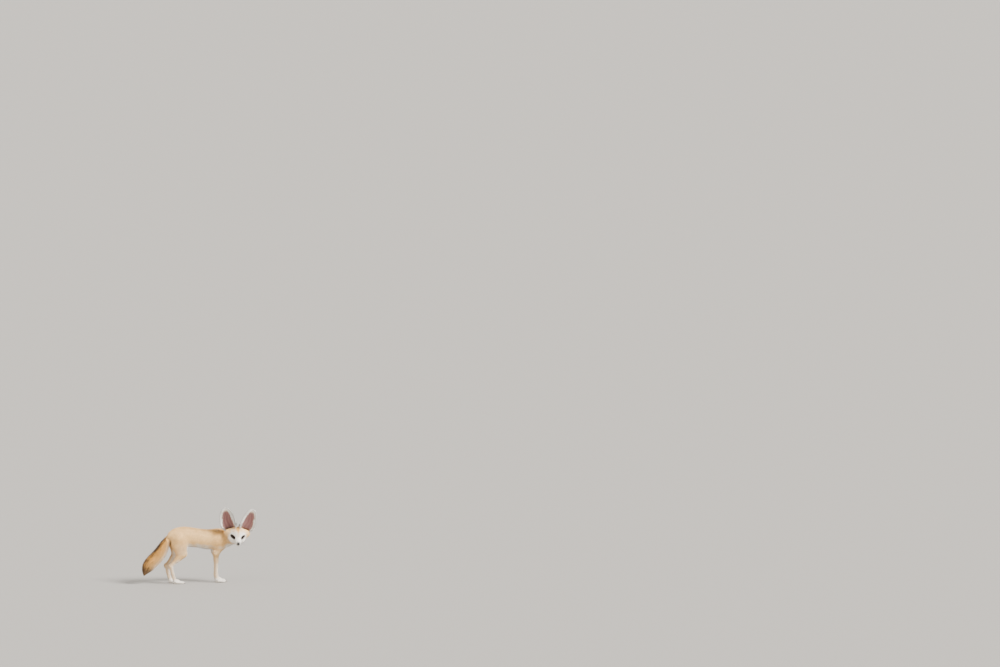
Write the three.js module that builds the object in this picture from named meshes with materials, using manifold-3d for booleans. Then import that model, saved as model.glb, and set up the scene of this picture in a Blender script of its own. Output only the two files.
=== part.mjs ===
// A life-size fennec fox that stands still, with its head turned to its right side.
// Millimetres, +Z up, +X ahead of the body, +Y to the fox's left. The origin is under the middle of the
// fox's bounding box, at the level of the soles.
import * as THREE from "three";
import { mergeVertices } from "three/addons/utils/BufferGeometryUtils.js";
import Module from "manifold-3d";

const wasm = await Module();
wasm.setup();

// Driving sizes
const gap = 0.3; // between nodes that touch
const shoulderHeight = 206; // floor to withers, with coat
const bodyLength = 236; // forechest to rump
const stanceHind = 22; // hind paw's distance from the middle plane
const stanceFore = 19; // fore paw's distance from the middle plane
const stride = { hind: -6, fore: 9, high: 150, low: 95 }; // left legs ahead of right ones, in full below low
const headYaw = -100; // degrees from straight ahead, to the fox's right
const headPitch = -16.5; // degrees, nose down
const headRoll = -4; // degrees, left side down
const eyesMiddle = [140, -73.5, 183.3]; // between the two eyeballs
const eyeRadius = 7.2;
const eyeSpacing = 28;
const earBase = [-20, 32, 12]; // left ear, in the head's own frame
const earTip = [-42, 50.5, 101];
const earWidth = 59;
const earThickness = 2.4;
const earTurn = 6; // degrees that the cup turns outward
const earSplay = { left: 0, right: 4 }; // each ear's own tip, farther out
const tailRadius = 28.8; // out to the tips of the coat

// Body outline: place along the body, top line, belly line, half width
const trunkStations = [
  [-0.5, 202, 170, 13],
  [-0.445, 211, 158, 23],
  [-0.36, 219, 150, 29],
  [-0.25, 222, 144, 31],
  [-0.14, 219.5, 140, 29],
  [-0.02, 214.5, 137, 30.5],
  [0.11, 209.5, 130, 33.5],
  [0.235, 207.5, 127, 33.5],
  [0.34, shoulderHeight, 123, 31],
  [0.425, 203, 131, 26],
  [0.5, 195, 147, 17],
].map(([along, ...rest]) => [along * bodyLength, ...rest]);

// Small vector helpers on plain arrays
const add = (a, b, k = 1) => [a[0] + b[0] * k, a[1] + b[1] * k, a[2] + b[2] * k];
const sub = (a, b) => add(a, b, -1);
const dot = (a, b) => a[0] * b[0] + a[1] * b[1] + a[2] * b[2];
const cross = (a, b) => [
  a[1] * b[2] - a[2] * b[1],
  a[2] * b[0] - a[0] * b[2],
  a[0] * b[1] - a[1] * b[0],
];
const length = (a) => Math.hypot(...a);
const unit = (a) => add([0, 0, 0], a, 1 / length(a));
const mix = (a, b, t) => a + (b - a) * t;
const clamp = (x, lo, hi) => Math.min(hi, Math.max(lo, x));
const mirrored = (p, side) => [p[0], p[1] * side, p[2]];

// A smooth curve through rows of [place, values...], as a function of place
function smoothTable(rows) {
  const slope = (i, c) => {
    const before = rows[Math.max(i - 1, 0)];
    const after = rows[Math.min(i + 1, rows.length - 1)];
    return (after[c] - before[c]) / (after[0] - before[0]);
  };
  return (x, c = 1) => {
    const last = rows.length - 2;
    let i = 0;
    while (i < last && x > rows[i + 1][0]) i++;
    const [p, q] = [rows[i], rows[i + 1]];
    const w = q[0] - p[0];
    const t = clamp((x - p[0]) / w, 0, 1);
    const [t2, t3] = [t * t, t * t * t];
    return (
      (2 * t3 - 3 * t2 + 1) * p[c] +
      (t3 - 2 * t2 + t) * w * slope(i, c) +
      (3 * t2 - 2 * t3) * q[c] +
      (t3 - t2) * w * slope(i + 1, c)
    );
  };
}

// Distances to simple rounded forms, negative inside
function limb(p, a, b, ra, rb) {
  const along = sub(b, a);
  const t = clamp(dot(sub(p, a), along) / dot(along, along), 0, 1);
  return length(sub(p, add(a, along, t))) - mix(ra, rb, t);
}
function ellipsoid(p, centre, radii) {
  const q = sub(p, centre).map((v, i) => v / radii[i]);
  const k0 = length(q);
  const k1 = length(q.map((v, i) => v / radii[i]));
  return k1 < 1e-9 ? -Math.min(...radii) : (k0 * (k0 - 1)) / k1;
}
const blend = (a, b, k) => {
  const h = Math.max(k - Math.abs(a - b), 0) / k;
  return Math.min(a, b) - (h * h * k) / 4;
};

// Trunk: an upright ellipse carried along the body
const trunkAt = smoothTable(trunkStations);
const [trunkBack, trunkFront] = [trunkStations[0][0], trunkStations.at(-1)[0]];
function trunk(p) {
  const x = clamp(p[0], trunkBack, trunkFront);
  const [top, bottom, half] = [trunkAt(x, 1), trunkAt(x, 2), trunkAt(x, 3)];
  const dz = p[2] - (top + bottom) / 2;
  const away = Math.hypot(p[1], dz);
  const share = Math.hypot(p[1] / half, dz / ((top - bottom) / 2));
  const inPlane = share < 1e-6 ? -half : away * (1 - 1 / share);
  const past = p[0] - x;
  return past === 0 ? inPlane : Math.hypot(past, Math.max(inPlane, 0)) + Math.min(inPlane, 0) * 0.2;
}

// Neck: from between the shoulders round to the back of the skull
const neckPath = [
  [84, 0, 168, 37],
  [114, -3, 169, 32],
  [136, -12, 174, 27],
  [149, -30, 181, 24],
];

// Legs: joints from the top down, each with its radius. A side's y is its stance.
const hindJoints = {
  thigh: [-80, 178],
  knee: [-68, 118],
  hock: [-116, 71],
  cannon: [-110, 42],
  ball: [-101, 12],
};
const foreJoints = {
  blade: [80, 172],
  point: [97, 148],
  elbow: [68, 119],
  forearm: [69, 84],
  wrist: [68, 30],
  root: [71, 13],
};
const pawReach = { hind: 34, fore: 31 };
function strideAt(name, side, z) {
  if (side < 0) return 0;
  const t = clamp((stride.high - z) / (stride.high - stride.low), 0, 1);
  return stride[name] * t * t * (3 - 2 * t);
}
function hindLeg(place, side) {
  const p = add(place, [strideAt("hind", side, place[2]), 0, 0], -1);
  const y = side * stanceHind;
  const { thigh, knee, hock, cannon, ball } = hindJoints;
  const at = ([x, z], out = 0) => [x, y + side * out, z];
  let d = ellipsoid(p, at([-77, 160], -4), [35, 17, 38]);
  d = blend(d, limb(p, at(thigh, -6), at(knee, 1), 24, 15.5), 14);
  d = blend(d, limb(p, at([-92, 150], -2), at([-84, 118], 0), 15, 11), 14);
  d = blend(d, limb(p, at(knee, 1), at(add3(knee, hock, 0.45), 0.5), 15, 11.5), 10);
  d = blend(d, limb(p, at(add3(knee, hock, 0.3), 0.5), at(hock), 11.5, 7), 8);
  d = blend(d, limb(p, at([-122, 72]), at([-121, 64]), 4.2, 4.2), 5);
  d = blend(d, limb(p, at(hock), at(cannon), 7.6, 6.3), 5);
  d = blend(d, limb(p, at(cannon), at(ball), 6.3, 7.2), 5);
  return blend(d, paw(p, at(ball), pawReach.hind, 8.2), 5);
}
function foreLeg(place, side) {
  const p = add(place, [strideAt("fore", side, place[2]), 0, 0], -1);
  const y = side * stanceFore;
  const { blade, point, elbow, forearm, wrist, root } = foreJoints;
  const at = ([x, z], out = 0) => [x, y + side * out, z];
  let d = ellipsoid(p, at(blade, 4), [22, 11, 34]);
  d = blend(d, limb(p, at(point, 0), at(elbow, 2), 15.5, 12.5), 14);
  d = blend(d, limb(p, at(elbow, 2), at(forearm, 1), 11.5, 8), 10);
  d = blend(d, limb(p, at([60, 118], 1), at([62, 112], 1), 5, 4), 6);
  d = blend(d, limb(p, at(forearm, 1), at(wrist), 8, 7), 5);
  d = blend(d, limb(p, at(wrist), at([root[0], root[1] + 2]), 7.4, 8.2), 5);
  return blend(d, paw(p, at(root), pawReach.fore, 8.8), 6);
}
const add3 = (a, b, t) => [mix(a[0], b[0], t), mix(a[1], b[1], t)];

// Paw: a pad with four toes that fan a little, the middle two ahead
const toeSpread = 4.7;
const toes = [-1.5, -0.5, 0.5, 1.5];
function toeLine(root, reach, k) {
  const middle = Math.abs(k) < 1;
  const from = [root[0] + 4, root[1] + k * toeSpread * 0.8, 7.5];
  const to = [root[0] + reach - (middle ? 0 : 5), root[1] + k * toeSpread * 1.12, 4.6];
  return [from, to];
}
function paw(p, root, reach, wide) {
  if (p[2] > 45) return 50;
  let d = ellipsoid(p, [root[0] + 7, root[1], 8.5], [15, wide, 9.8]);
  for (const k of toes) {
    const [from, to] = toeLine(root, reach, k);
    d = blend(d, limb(p, from, to, 5.4, 4.9), 2.2);
  }
  return d;
}

// The head's own frame: x to the nose, y to its left, z up through the crown, origin between the eyes
const turn = new THREE.Euler(
  THREE.MathUtils.degToRad(headRoll),
  THREE.MathUtils.degToRad(-headPitch),
  THREE.MathUtils.degToRad(headYaw),
  "ZYX",
);
const headMatrix = new THREE.Matrix4().makeRotationFromEuler(turn);
const axes = [0, 4, 8].map((i) => headMatrix.elements.slice(i, i + 3));
const toHead = (p) => {
  const d = sub(p, eyesMiddle);
  return axes.map((axis) => dot(d, axis));
};
const fromHead = (q) => axes.reduce((p, axis, i) => add(p, axis, q[i]), eyesMiddle);
const headVector = (v) => axes.reduce((p, axis, i) => add(p, axis, v[i]), [0, 0, 0]);

const noseTip = [45, 0, -13];
// Forms of the head's left half, each joined to those before it with its own softness
const headForms = {
  braincase: { centre: [-23, 0, 6], radii: [30, 27, 25], soft: 0 },
  brow: { centre: [-4, 0, 6], radii: [17, 21, 16], soft: 12 },
  temple: { centre: [-22, 20, 0], radii: [19, 19, 21], soft: 12 },
  cheek: { centre: [-13, 15, -16], radii: [20, 15.5, 15.5], soft: 12 },
  muzzleRoot: { from: [4, 0, -6], to: [24, 0, -11], thick: [17, 11], soft: 8 },
  muzzleEnd: { from: [22, 0, -11], to: [38, 0, -14.5], thick: [11, 7], soft: 6 },
  upperLip: { from: [22, 4, -15], to: [34, 3.2, -17.5], thick: [6.2, 4.6], soft: 4 },
  jaw: { from: [-12, 8, -20], to: [31, 0, -22.5], thick: [11.5, 4.8], soft: 8 },
  earRoot: { centre: [-26, 35, 4], radii: [15, 17, 14], soft: 12 },
};
const headReach = 90;
function head(p) {
  const q = toHead(p);
  if (length(q) > headReach) return length(q) - headReach + 30;
  const m = [q[0], Math.abs(q[1]), q[2]];
  let d = 1e3;
  for (const form of Object.values(headForms)) {
    const own = form.radii
      ? ellipsoid(m, form.centre, form.radii)
      : limb(m, form.from, form.to, ...form.thick);
    d = form.soft ? blend(d, own, form.soft) : own;
  }
  return d;
}

function neck(p) {
  let d = 1e3;
  for (let i = 0; i < neckPath.length - 1; i++) {
    const [a, b] = [neckPath[i], neckPath[i + 1]];
    d = blend(d, limb(p, a.slice(0, 3), b.slice(0, 3), a[3], b[3]), 8);
  }
  return d;
}

// Tail: hangs from the rump in an even curve. A row gives a place, then how far the coat and the core
// under it reach there, as shares of the full radius.
const tailPath = [
  [-106, 184, 0.4, 0.38],
  [-126, 168, 0.56, 0.41],
  [-139, 146, 0.8, 0.42],
  [-153, 122, 0.96, 0.45],
  [-172, 101, 1, 0.48],
  [-187, 87, 1, 0.46],
  [-198, 75, 0.9, 0.4],
  [-208, 61, 0.64, 0.28],
  [-214, 49, 0.4, 0.17],
  [-217.5, 39, 0.18, 0.07],
];
function tail(p) {
  let d = 1e3;
  for (let i = 0; i < tailPath.length - 1; i++) {
    const [a, b] = [tailPath[i], tailPath[i + 1]];
    const line = limb(p, [a[0], 0, a[1]], [b[0], 0, b[1]], a[3] * tailRadius, b[3] * tailRadius);
    d = blend(d, line, 8);
  }
  return d;
}

// The whole fox without its ears, out to the tips of its short coat
function fox(p) {
  let d = trunk(p);
  if (p[0] < -80) d = blend(d, tail(p), 9);
  if (p[0] > 20) d = blend(d, neck(p), 22);
  if (p[0] > 60 && p[2] > 90) d = blend(d, head(p), 12);
  for (const side of [-1, 1]) {
    if (p[1] * side < -30) continue;
    if (p[0] < 10) d = blend(d, hindLeg(p, side), 10);
    if (p[0] > 10) d = blend(d, foreLeg(p, side), 10);
  }
  return d;
}

// A closed triangle surface where the field is zero, from one vertex in each grid cell that it crosses
function surface(field, low, high, cell) {
  const n = [0, 1, 2].map((i) => Math.ceil((high[i] - low[i]) / cell) + 1);
  const index = (i, j, k) => (k * n[1] + j) * n[0] + i;
  const value = new Float32Array(n[0] * n[1] * n[2]);
  for (let k = 0; k < n[2]; k++)
    for (let j = 0; j < n[1]; j++)
      for (let i = 0; i < n[0]; i++)
        value[index(i, j, k)] = field([low[0] + i * cell, low[1] + j * cell, low[2] + k * cell]);
  const corners = [0, 1, 2, 3, 4, 5, 6, 7].map((c) => [c & 1, (c >> 1) & 1, c >> 2]);
  const edges = [];
  corners.forEach((a, ia) =>
    corners.forEach((b, ib) => {
      if (ia < ib && a.reduce((s, v, i) => s + Math.abs(v - b[i]), 0) === 1) edges.push([ia, ib]);
    }),
  );
  const vertexOf = new Int32Array(value.length).fill(-1);
  const points = [];
  for (let k = 0; k < n[2] - 1; k++)
    for (let j = 0; j < n[1] - 1; j++)
      for (let i = 0; i < n[0] - 1; i++) {
        const v = corners.map(([a, b, c]) => value[index(i + a, j + b, k + c)]);
        const inside = v.filter((x) => x < 0).length;
        if (inside === 0 || inside === 8) continue;
        let sum = [0, 0, 0];
        let count = 0;
        for (const [a, b] of edges)
          if (v[a] < 0 !== v[b] < 0) {
            const t = v[a] / (v[a] - v[b]);
            sum = add(sum, corners[a].map((x, m) => mix(x, corners[b][m], t)));
            count++;
          }
        vertexOf[index(i, j, k)] = points.length;
        points.push(add(low, add([i, j, k], sum, 1 / count), cell));
      }
  const faces = [];
  const around = [
    [[0, 0, 0], [0, -1, 0], [0, -1, -1], [0, 0, -1]],
    [[0, 0, 0], [0, 0, -1], [-1, 0, -1], [-1, 0, 0]],
    [[0, 0, 0], [-1, 0, 0], [-1, -1, 0], [0, -1, 0]],
  ];
  for (let k = 1; k < n[2] - 1; k++)
    for (let j = 1; j < n[1] - 1; j++)
      for (let i = 1; i < n[0] - 1; i++)
        for (let axis = 0; axis < 3; axis++) {
          const here = value[index(i, j, k)] < 0;
          const step = [0, 0, 0];
          step[axis] = 1;
          const next = value[index(i + step[0], j + step[1], k + step[2])] < 0;
          if (here === next) continue;
          const quad = around[axis].map(([a, b, c]) => vertexOf[index(i + a, j + b, k + c)]);
          if (!here) quad.reverse();
          const far = (a, b) => length(sub(points[quad[a]], points[quad[b]]));
          const order = far(0, 2) < far(1, 3) ? [0, 1, 2, 0, 2, 3] : [0, 1, 3, 1, 2, 3];
          faces.push(order.slice(0, 3).map((q) => quad[q]), order.slice(3).map((q) => quad[q]));
        }
  const nudge = cell / 50;
  for (const p of points)
    for (let round = 0; round < 3; round++) {
      const d = field(p);
      const slope = [0, 1, 2].map((a) => {
        const q = [...p];
        q[a] += nudge;
        return (field(q) - d) / nudge;
      });
      const steep = Math.max(dot(slope, slope), 0.3);
      const move = clamp(-d / steep, -cell / 4, cell / 4);
      for (let a = 0; a < 3; a++) p[a] += slope[a] * move;
    }
  return { points, faces };
}

// Fewer triangles: the edges that matter least to the shape are closed up in rounds.
// care(p) makes a place matter more.
function simplified({ points, faces }, target, care) {
  let live = faces.map((f) => [...f]);
  const pos = points.map((p) => [...p]);
  const quadrics = pos.map(() => new Float64Array(10));
  const planeOf = ([a, b, c]) => {
    const n = cross(sub(pos[b], pos[a]), sub(pos[c], pos[a]));
    const size = length(n);
    return size < 1e-12 ? null : { n: unit(n), area: size / 2 };
  };
  for (const f of live) {
    const plane = planeOf(f);
    if (!plane) continue;
    const [a, b, c] = plane.n;
    const d = -dot(plane.n, pos[f[0]]);
    const terms = [a * a, a * b, a * c, a * d, b * b, b * c, b * d, c * c, c * d, d * d];
    for (const v of f) terms.forEach((x, i) => (quadrics[v][i] += x * plane.area));
  }
  const error = (q, [x, y, z]) =>
    q[0] * x * x + 2 * q[1] * x * y + 2 * q[2] * x * z + 2 * q[3] * x + q[4] * y * y +
    2 * q[5] * y * z + 2 * q[6] * y + q[7] * z * z + 2 * q[8] * z + q[9];
  const best = (q, a, b) => {
    const m = new THREE.Matrix3().set(q[0], q[1], q[2], q[1], q[4], q[5], q[2], q[5], q[7]);
    const middle = add(a, sub(b, a), 0.5);
    const size = q[0] + q[4] + q[7];
    if (Math.abs(m.determinant()) < 1e-3 * (size / 3) ** 3) return middle;
    const v = new THREE.Vector3(-q[3], -q[6], -q[8]).applyMatrix3(m.invert()).toArray();
    return length(sub(v, middle)) > 1.2 * length(sub(a, b)) ? middle : v;
  };
  while (live.length > target) {
    const facesAt = new Map();
    live.forEach((f) => f.forEach((v) => (facesAt.get(v) ?? facesAt.set(v, []).get(v)).push(f)));
    const seen = new Set();
    const edges = [];
    for (const f of live)
      for (let i = 0; i < 3; i++) {
        const [a, b] = [f[i], f[(i + 1) % 3]].sort((x, y) => x - y);
        const key = a * pos.length + b;
        if (seen.has(key)) continue;
        seen.add(key);
        const q = quadrics[a].map((x, n) => x + quadrics[b][n]);
        const spot = best(q, pos[a], pos[b]);
        const span = length(sub(pos[a], pos[b]));
        const cost = (Math.max(error(q, spot), 0) + 2e-3 * span ** 4) * care(spot);
        edges.push({ a, b, q, spot, cost });
      }
    edges.sort((x, y) => x.cost - y.cost);
    const touched = new Set();
    const quota = Math.max(20, Math.min(edges.length / 12, (live.length - target) / 2));
    let closed = 0;
    for (const { a, b, q, spot } of edges) {
      if (closed >= quota) break;
      const ring = new Set([...facesAt.get(a), ...facesAt.get(b)].flat());
      if ([...ring].some((v) => touched.has(v))) continue;
      const nearA = new Set(facesAt.get(a).flat());
      const nearB = new Set(facesAt.get(b).flat());
      if ([...nearA].filter((v) => nearB.has(v) && v !== a && v !== b).length !== 2) continue;
      const kept = [...facesAt.get(a), ...facesAt.get(b)].filter((f) => !(f.includes(a) && f.includes(b)));
      const turns = kept.some((f) => {
        const before = planeOf(f);
        const [p, r, s] = f.map((v) => (v === a || v === b ? spot : pos[v]));
        const after = cross(sub(r, p), sub(s, p));
        const longest = Math.max(length(sub(r, p)), length(sub(s, r)), length(sub(p, s)));
        const size = length(after);
        return !before || size < 0.12 * longest * longest || dot(before.n, after) / size < 0.3;
      });
      if (turns) continue;
      pos[a] = spot;
      quadrics[a] = q;
      kept.forEach((f) => f.forEach((v, i) => v === b && (f[i] = a)));
      for (const f of facesAt.get(a)) if (f.includes(a) && f.includes(b)) f.dead = true;
      ring.forEach((v) => touched.add(v));
      closed++;
    }
    live = live.filter((f) => !f.dead);
    if (closed < 5) break;
  }
  return { points: pos, faces: live };
}

// Between lists of points and faces, three.js geometries and solids
function geometryOf({ points, faces }) {
  const used = new Map();
  const position = [];
  const indexes = faces.flat().map((v) => {
    if (!used.has(v)) {
      used.set(v, used.size);
      position.push(...points[v]);
    }
    return used.get(v);
  });
  const geometry = new THREE.BufferGeometry();
  geometry.setAttribute("position", new THREE.Float32BufferAttribute(position, 3));
  geometry.setIndex(indexes);
  return geometry;
}
function solidOf(geometry) {
  const bare = geometry.clone();
  for (const name of Object.keys(bare.attributes)) if (name !== "position") bare.deleteAttribute(name);
  const merged = mergeVertices(bare, 1e-3);
  return new wasm.Manifold(
    new wasm.Mesh({
      numProp: 3,
      vertProperties: merged.attributes.position.array,
      triVerts: new Uint32Array(merged.index.array),
    }),
  );
}
function geometryOfSolid(solid) {
  const mesh = solid.getMesh();
  const geometry = new THREE.BufferGeometry();
  const position = new Float32Array(mesh.numVert * 3);
  for (let i = 0; i < mesh.numVert; i++)
    position.set(mesh.vertProperties.subarray(i * mesh.numProp, i * mesh.numProp + 3), i * 3);
  geometry.setAttribute("position", new THREE.BufferAttribute(position, 3));
  geometry.setIndex(new THREE.BufferAttribute(mesh.triVerts, 1));
  return geometry;
}
// The same mesh without the very short edges that cuts leave, and with no two corners in one place
function tidied(geometry, shortest = 0.06) {
  const at = geometry.attributes.position;
  const points = Array.from({ length: at.count }, (_, i) => [at.getX(i), at.getY(i), at.getZ(i)]);
  let faces = Array.from({ length: geometry.index.count / 3 }, (_, i) =>
    [0, 1, 2].map((c) => geometry.index.getX(i * 3 + c)),
  );
  for (let round = 0; round < 6; round++) {
    const around = points.map(() => []);
    faces.forEach((f) => f.forEach((v) => around[v].push(f)));
    const touched = new Set();
    let closed = 0;
    for (const f of faces)
      for (let i = 0; i < 3; i++) {
        const [a, b] = [f[i], f[(i + 1) % 3]];
        if (f.dead || a === b || length(sub(points[a], points[b])) > shortest) continue;
        const ring = new Set([...around[a], ...around[b]].flat());
        if ([...ring].some((v) => touched.has(v))) continue;
        const nearA = new Set(around[a].flat());
        const shared = new Set(around[b].flat().filter((v) => nearA.has(v) && v !== a && v !== b));
        if (shared.size !== 2) continue;
        for (const g of [...around[a], ...around[b]]) {
          if (g.includes(a) && g.includes(b)) g.dead = true;
          else g.forEach((v, c) => v === b && (g[c] = a));
        }
        ring.forEach((v) => touched.add(v));
        closed++;
      }
    faces = faces.filter((f) => !f.dead);
    if (closed === 0) break;
  }
  const places = new Map();
  const nudge = 0.02;
  for (const v of new Set(faces.flat())) {
    const key = points[v].map((x) => x.toFixed(2)).join();
    if (places.has(key)) {
      const near = [...new Set(faces.filter((f) => f.includes(v)).flat())].filter((w) => w !== v);
      const centre = near.reduce((sum, w) => add(sum, points[w], 1 / near.length), [0, 0, 0]);
      points[v] = add(points[v], unit(sub(centre, points[v])), nudge);
    }
    places.set(key, v);
  }
  return geometryOf({ points, faces });
}
// The largest closed body, without the loose scraps and sealed hollows that joining can leave
function largest(solid) {
  return solid.decompose().reduce((a, b) => (b.volume() > a.volume() ? b : a));
}
// The same surface moved out by a distance along its vertex normals
function grownSolid(solid, distance) {
  const geometry = geometryOfSolid(solid);
  geometry.computeVertexNormals();
  const { position, normal } = geometry.attributes;
  for (let i = 0; i < position.count; i++)
    position.setXYZ(
      i,
      position.getX(i) + normal.getX(i) * distance,
      position.getY(i) + normal.getY(i) * distance,
      position.getZ(i) + normal.getZ(i) * distance,
    );
  return solidOf(geometry);
}

// Cutters. Each is drawn for the part itself, or larger by the gap for what the part is cut from.
function block(low, high) {
  const size = sub(high, low);
  return solidOf(new THREE.BoxGeometry(...size).translate(...add(low, size, 0.5)));
}
function beyond(point, direction, grow) {
  const reach = 320;
  const box = new THREE.BoxGeometry(reach, reach * 2, reach * 2).translate(reach / 2 - grow, 0, 0);
  const along = new THREE.Vector3(...unit(direction));
  box.applyQuaternion(new THREE.Quaternion().setFromUnitVectors(new THREE.Vector3(1, 0, 0), along));
  return solidOf(box.translate(...point));
}
// A leg: an ellipse over the joint at its top, and all that is below the belly on its side
const legRegions = {
  hind: { centre: [-82, 152], radii: [36, 47], inner: 8, ahead: [-150, -30], below: 130 },
  fore: { centre: [78, 137], radii: [27, 37], inner: 9, ahead: [35, 140], below: 117 },
};
function legRegion(name, side, grow) {
  const { centre, radii, inner, ahead, below } = legRegions[name];
  const depth = 60;
  const round = new THREE.CylinderGeometry(1, 1, depth + grow, 36);
  round.scale(radii[0] + grow, 1, radii[1] + grow);
  round.translate(centre[0], side * (inner + (depth - grow) / 2), centre[1]);
  const near = side * (gap / 2 - grow);
  const far = side * depth;
  const low = [ahead[0] - grow, Math.min(near, far), -10];
  const high = [ahead[1] + grow, Math.max(near, far), below + grow];
  return solidOf(round).add(block(low, high));
}
const headCut = { point: [146, -33, 180], direction: [0.37, -0.87, 0.3] };
const neckCut = { point: [99, 0, 165], direction: [0.949, 0, 0.316] };
const tailCut = { point: [-124, 0, 190], direction: [-0.966, 0, -0.258] };
// Beyond this cut, what is over the hocks or behind them is tail
const tailSpace = (grow) =>
  block([-320, -100, 92 - grow], [0, 100, 320]).add(block([-320, -100, -20], [-133 + grow, 100, 320]));

// The body as one surface, finer on the face and paws, with soles flat on the floor
const coarseCell = 3.2;
const bodyTriangles = 5000;
const care = (p) => {
  const q = toHead(p);
  const face = q[0] > -22 && Math.abs(q[1]) < 34 && Math.abs(q[2]) < 34;
  return face ? 14 : p[2] < 30 ? 7 : Math.hypot(...q) < 62 ? 3 : p[0] < -135 && p[2] > 30 ? 0.15 : 1;
};
const rawBody = surface(fox, [-240, -130, -8], [205, 60, 236], coarseCell);
const floorBlock = block([-260, -160, 0], [260, 160, 300]);
const body = solidOf(geometryOf(simplified(rawBody, bodyTriangles, care))).intersect(floorBlock);

// Eyeballs and the lids that close round them, in the head's frame
const eyeFacing = unit([0.8, 0.56, 0.16]); // the left eye's
const ballGeometry = (radius, rings) => new THREE.SphereGeometry(radius, rings * 2, rings);
function placedInHead(geometry) {
  return geometry.applyMatrix4(headMatrix).translate(...eyesMiddle);
}
const eyeCentre = (side) => [0, (side * eyeSpacing) / 2, 0];
function eyeball(side, radius, rings) {
  return placedInHead(ballGeometry(radius, rings).translate(...eyeCentre(side)));
}
const opening = { wide: 7.6, tall: 5, tilt: 18 }; // half sizes of the gap between the lids, and degrees
function eyeOpening(side) {
  const cone = new THREE.CylinderGeometry(1.12, 0.5, 16, 20).rotateX(Math.PI / 2);
  cone.scale(opening.wide, opening.tall, 1).translate(0, 0, 10);
  cone.rotateZ(THREE.MathUtils.degToRad(side * opening.tilt));
  const facing = new THREE.Vector3(eyeFacing[0], side * eyeFacing[1], eyeFacing[2]);
  const right = new THREE.Vector3().crossVectors(new THREE.Vector3(0, 0, 1), facing).normalize();
  const up = new THREE.Vector3().crossVectors(facing, right);
  cone.applyMatrix4(new THREE.Matrix4().makeBasis(right, up, facing));
  return solidOf(placedInHead(cone.translate(...eyeCentre(side))));
}

// The nose pad, with its two nostrils
function nosePad(grow) {
  const pad = new THREE.SphereGeometry(1, 12, 8);
  pad.scale(5.2 + grow, 4.9 + grow, 4.1 + grow).translate(noseTip[0] - 3, 0, noseTip[2]);
  return solidOf(placedInHead(pad));
}
function nostril(side) {
  const hole = new THREE.SphereGeometry(1, 8, 6).scale(2.2, 1, 1.2);
  hole.rotateZ(side * 0.5).translate(noseTip[0] + 1.2, side * 2.5, noseTip[2] - 0.4);
  return solidOf(placedInHead(hole));
}

// The line of the mouth: a thin groove from under the nose back along each side of the muzzle
const mouthLine = [
  [41, 0.5, -18.2],
  [37, 5, -18.8],
  [30, 8, -19.2],
  [22, 11.5, -19.6],
  [12, 15.5, -21],
];
const mouthGroove = { height: 0.5, depth: 1.6 };
function mouth(side) {
  const points = mouthLine.map((p) => mirrored(p, side));
  const rings = points.map((p, i) => {
    const along = unit(sub(points[Math.min(i + 1, points.length - 1)], points[Math.max(i - 1, 0)]));
    const outward = unit(cross(along, [0, 0, side]));
    const inside = add(p, outward, -mouthGroove.depth);
    const outside = add(p, outward, 9);
    return [
      add(inside, [0, 0, 0.1]),
      add(inside, [0, 0, -0.1]),
      add(outside, [0, 0, -mouthGroove.height * 3]),
      add(outside, [0, 0, mouthGroove.height * 3]),
    ];
  });
  return solidOf(placedInHead(loft(rings)));
}

// A closed geometry through rings of points, all with the same count, ends filled from their first point
function loft(rings) {
  const n = rings[0].length;
  const points = rings.flat();
  const faces = [];
  for (let r = 0; r < rings.length - 1; r++)
    for (let i = 0; i < n; i++) {
      const [a, b] = [r * n + i, r * n + ((i + 1) % n)];
      faces.push([a, b, b + n], [a, b + n, a + n]);
    }
  const end = (rings.length - 1) * n;
  for (let i = 1; i < n - 1; i++) {
    faces.push([0, i + 1, i]);
    faces.push([end, end + i, end + i + 1]);
  }
  const volume = faces.reduce((v, [a, b, c]) => v + dot(points[a], cross(points[b], points[c])), 0);
  if (volume < 0) faces.forEach((f) => f.reverse());
  return geometryOf({ points, faces });
}

// Ears: cupped shells, widest a third of the way up, that narrow and draw back into the head at the base
const earBow = 7; // how far the middle of its height bends back
const earAhead = 12; // its edges lie this far before its axis
const earTuck = { share: 0.18, depth: 14 };
const earInward = { share: 0.42, depth: 8 }; // the bases lean in towards the crown
const earShape = smoothTable([
  // share of length, half width as a share of the widest, degrees from the middle to an edge, depth share
  [0, 0.76, 130, 0.62],
  [0.09, 0.85, 122, 0.62],
  [0.2, 0.96, 108, 0.6],
  [0.38, 1, 92, 0.56],
  [0.6, 0.91, 80, 0.5],
  [0.8, 0.72, 70, 0.46],
  [0.92, 0.49, 60, 0.44],
  [0.975, 0.29, 54, 0.42],
  [1, 0.09, 50, 0.42],
]);
function earFrame(splay) {
  const tip = add(earTip, [0, splay, 0]);
  const along = unit(sub(tip, earBase));
  const swing = THREE.MathUtils.degToRad(earTurn);
  const ahead = [Math.cos(swing), Math.sin(swing), 0];
  const left = unit(cross(along, ahead));
  return { along, left, ahead: cross(left, along), reach: length(sub(tip, earBase)) };
}
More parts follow.
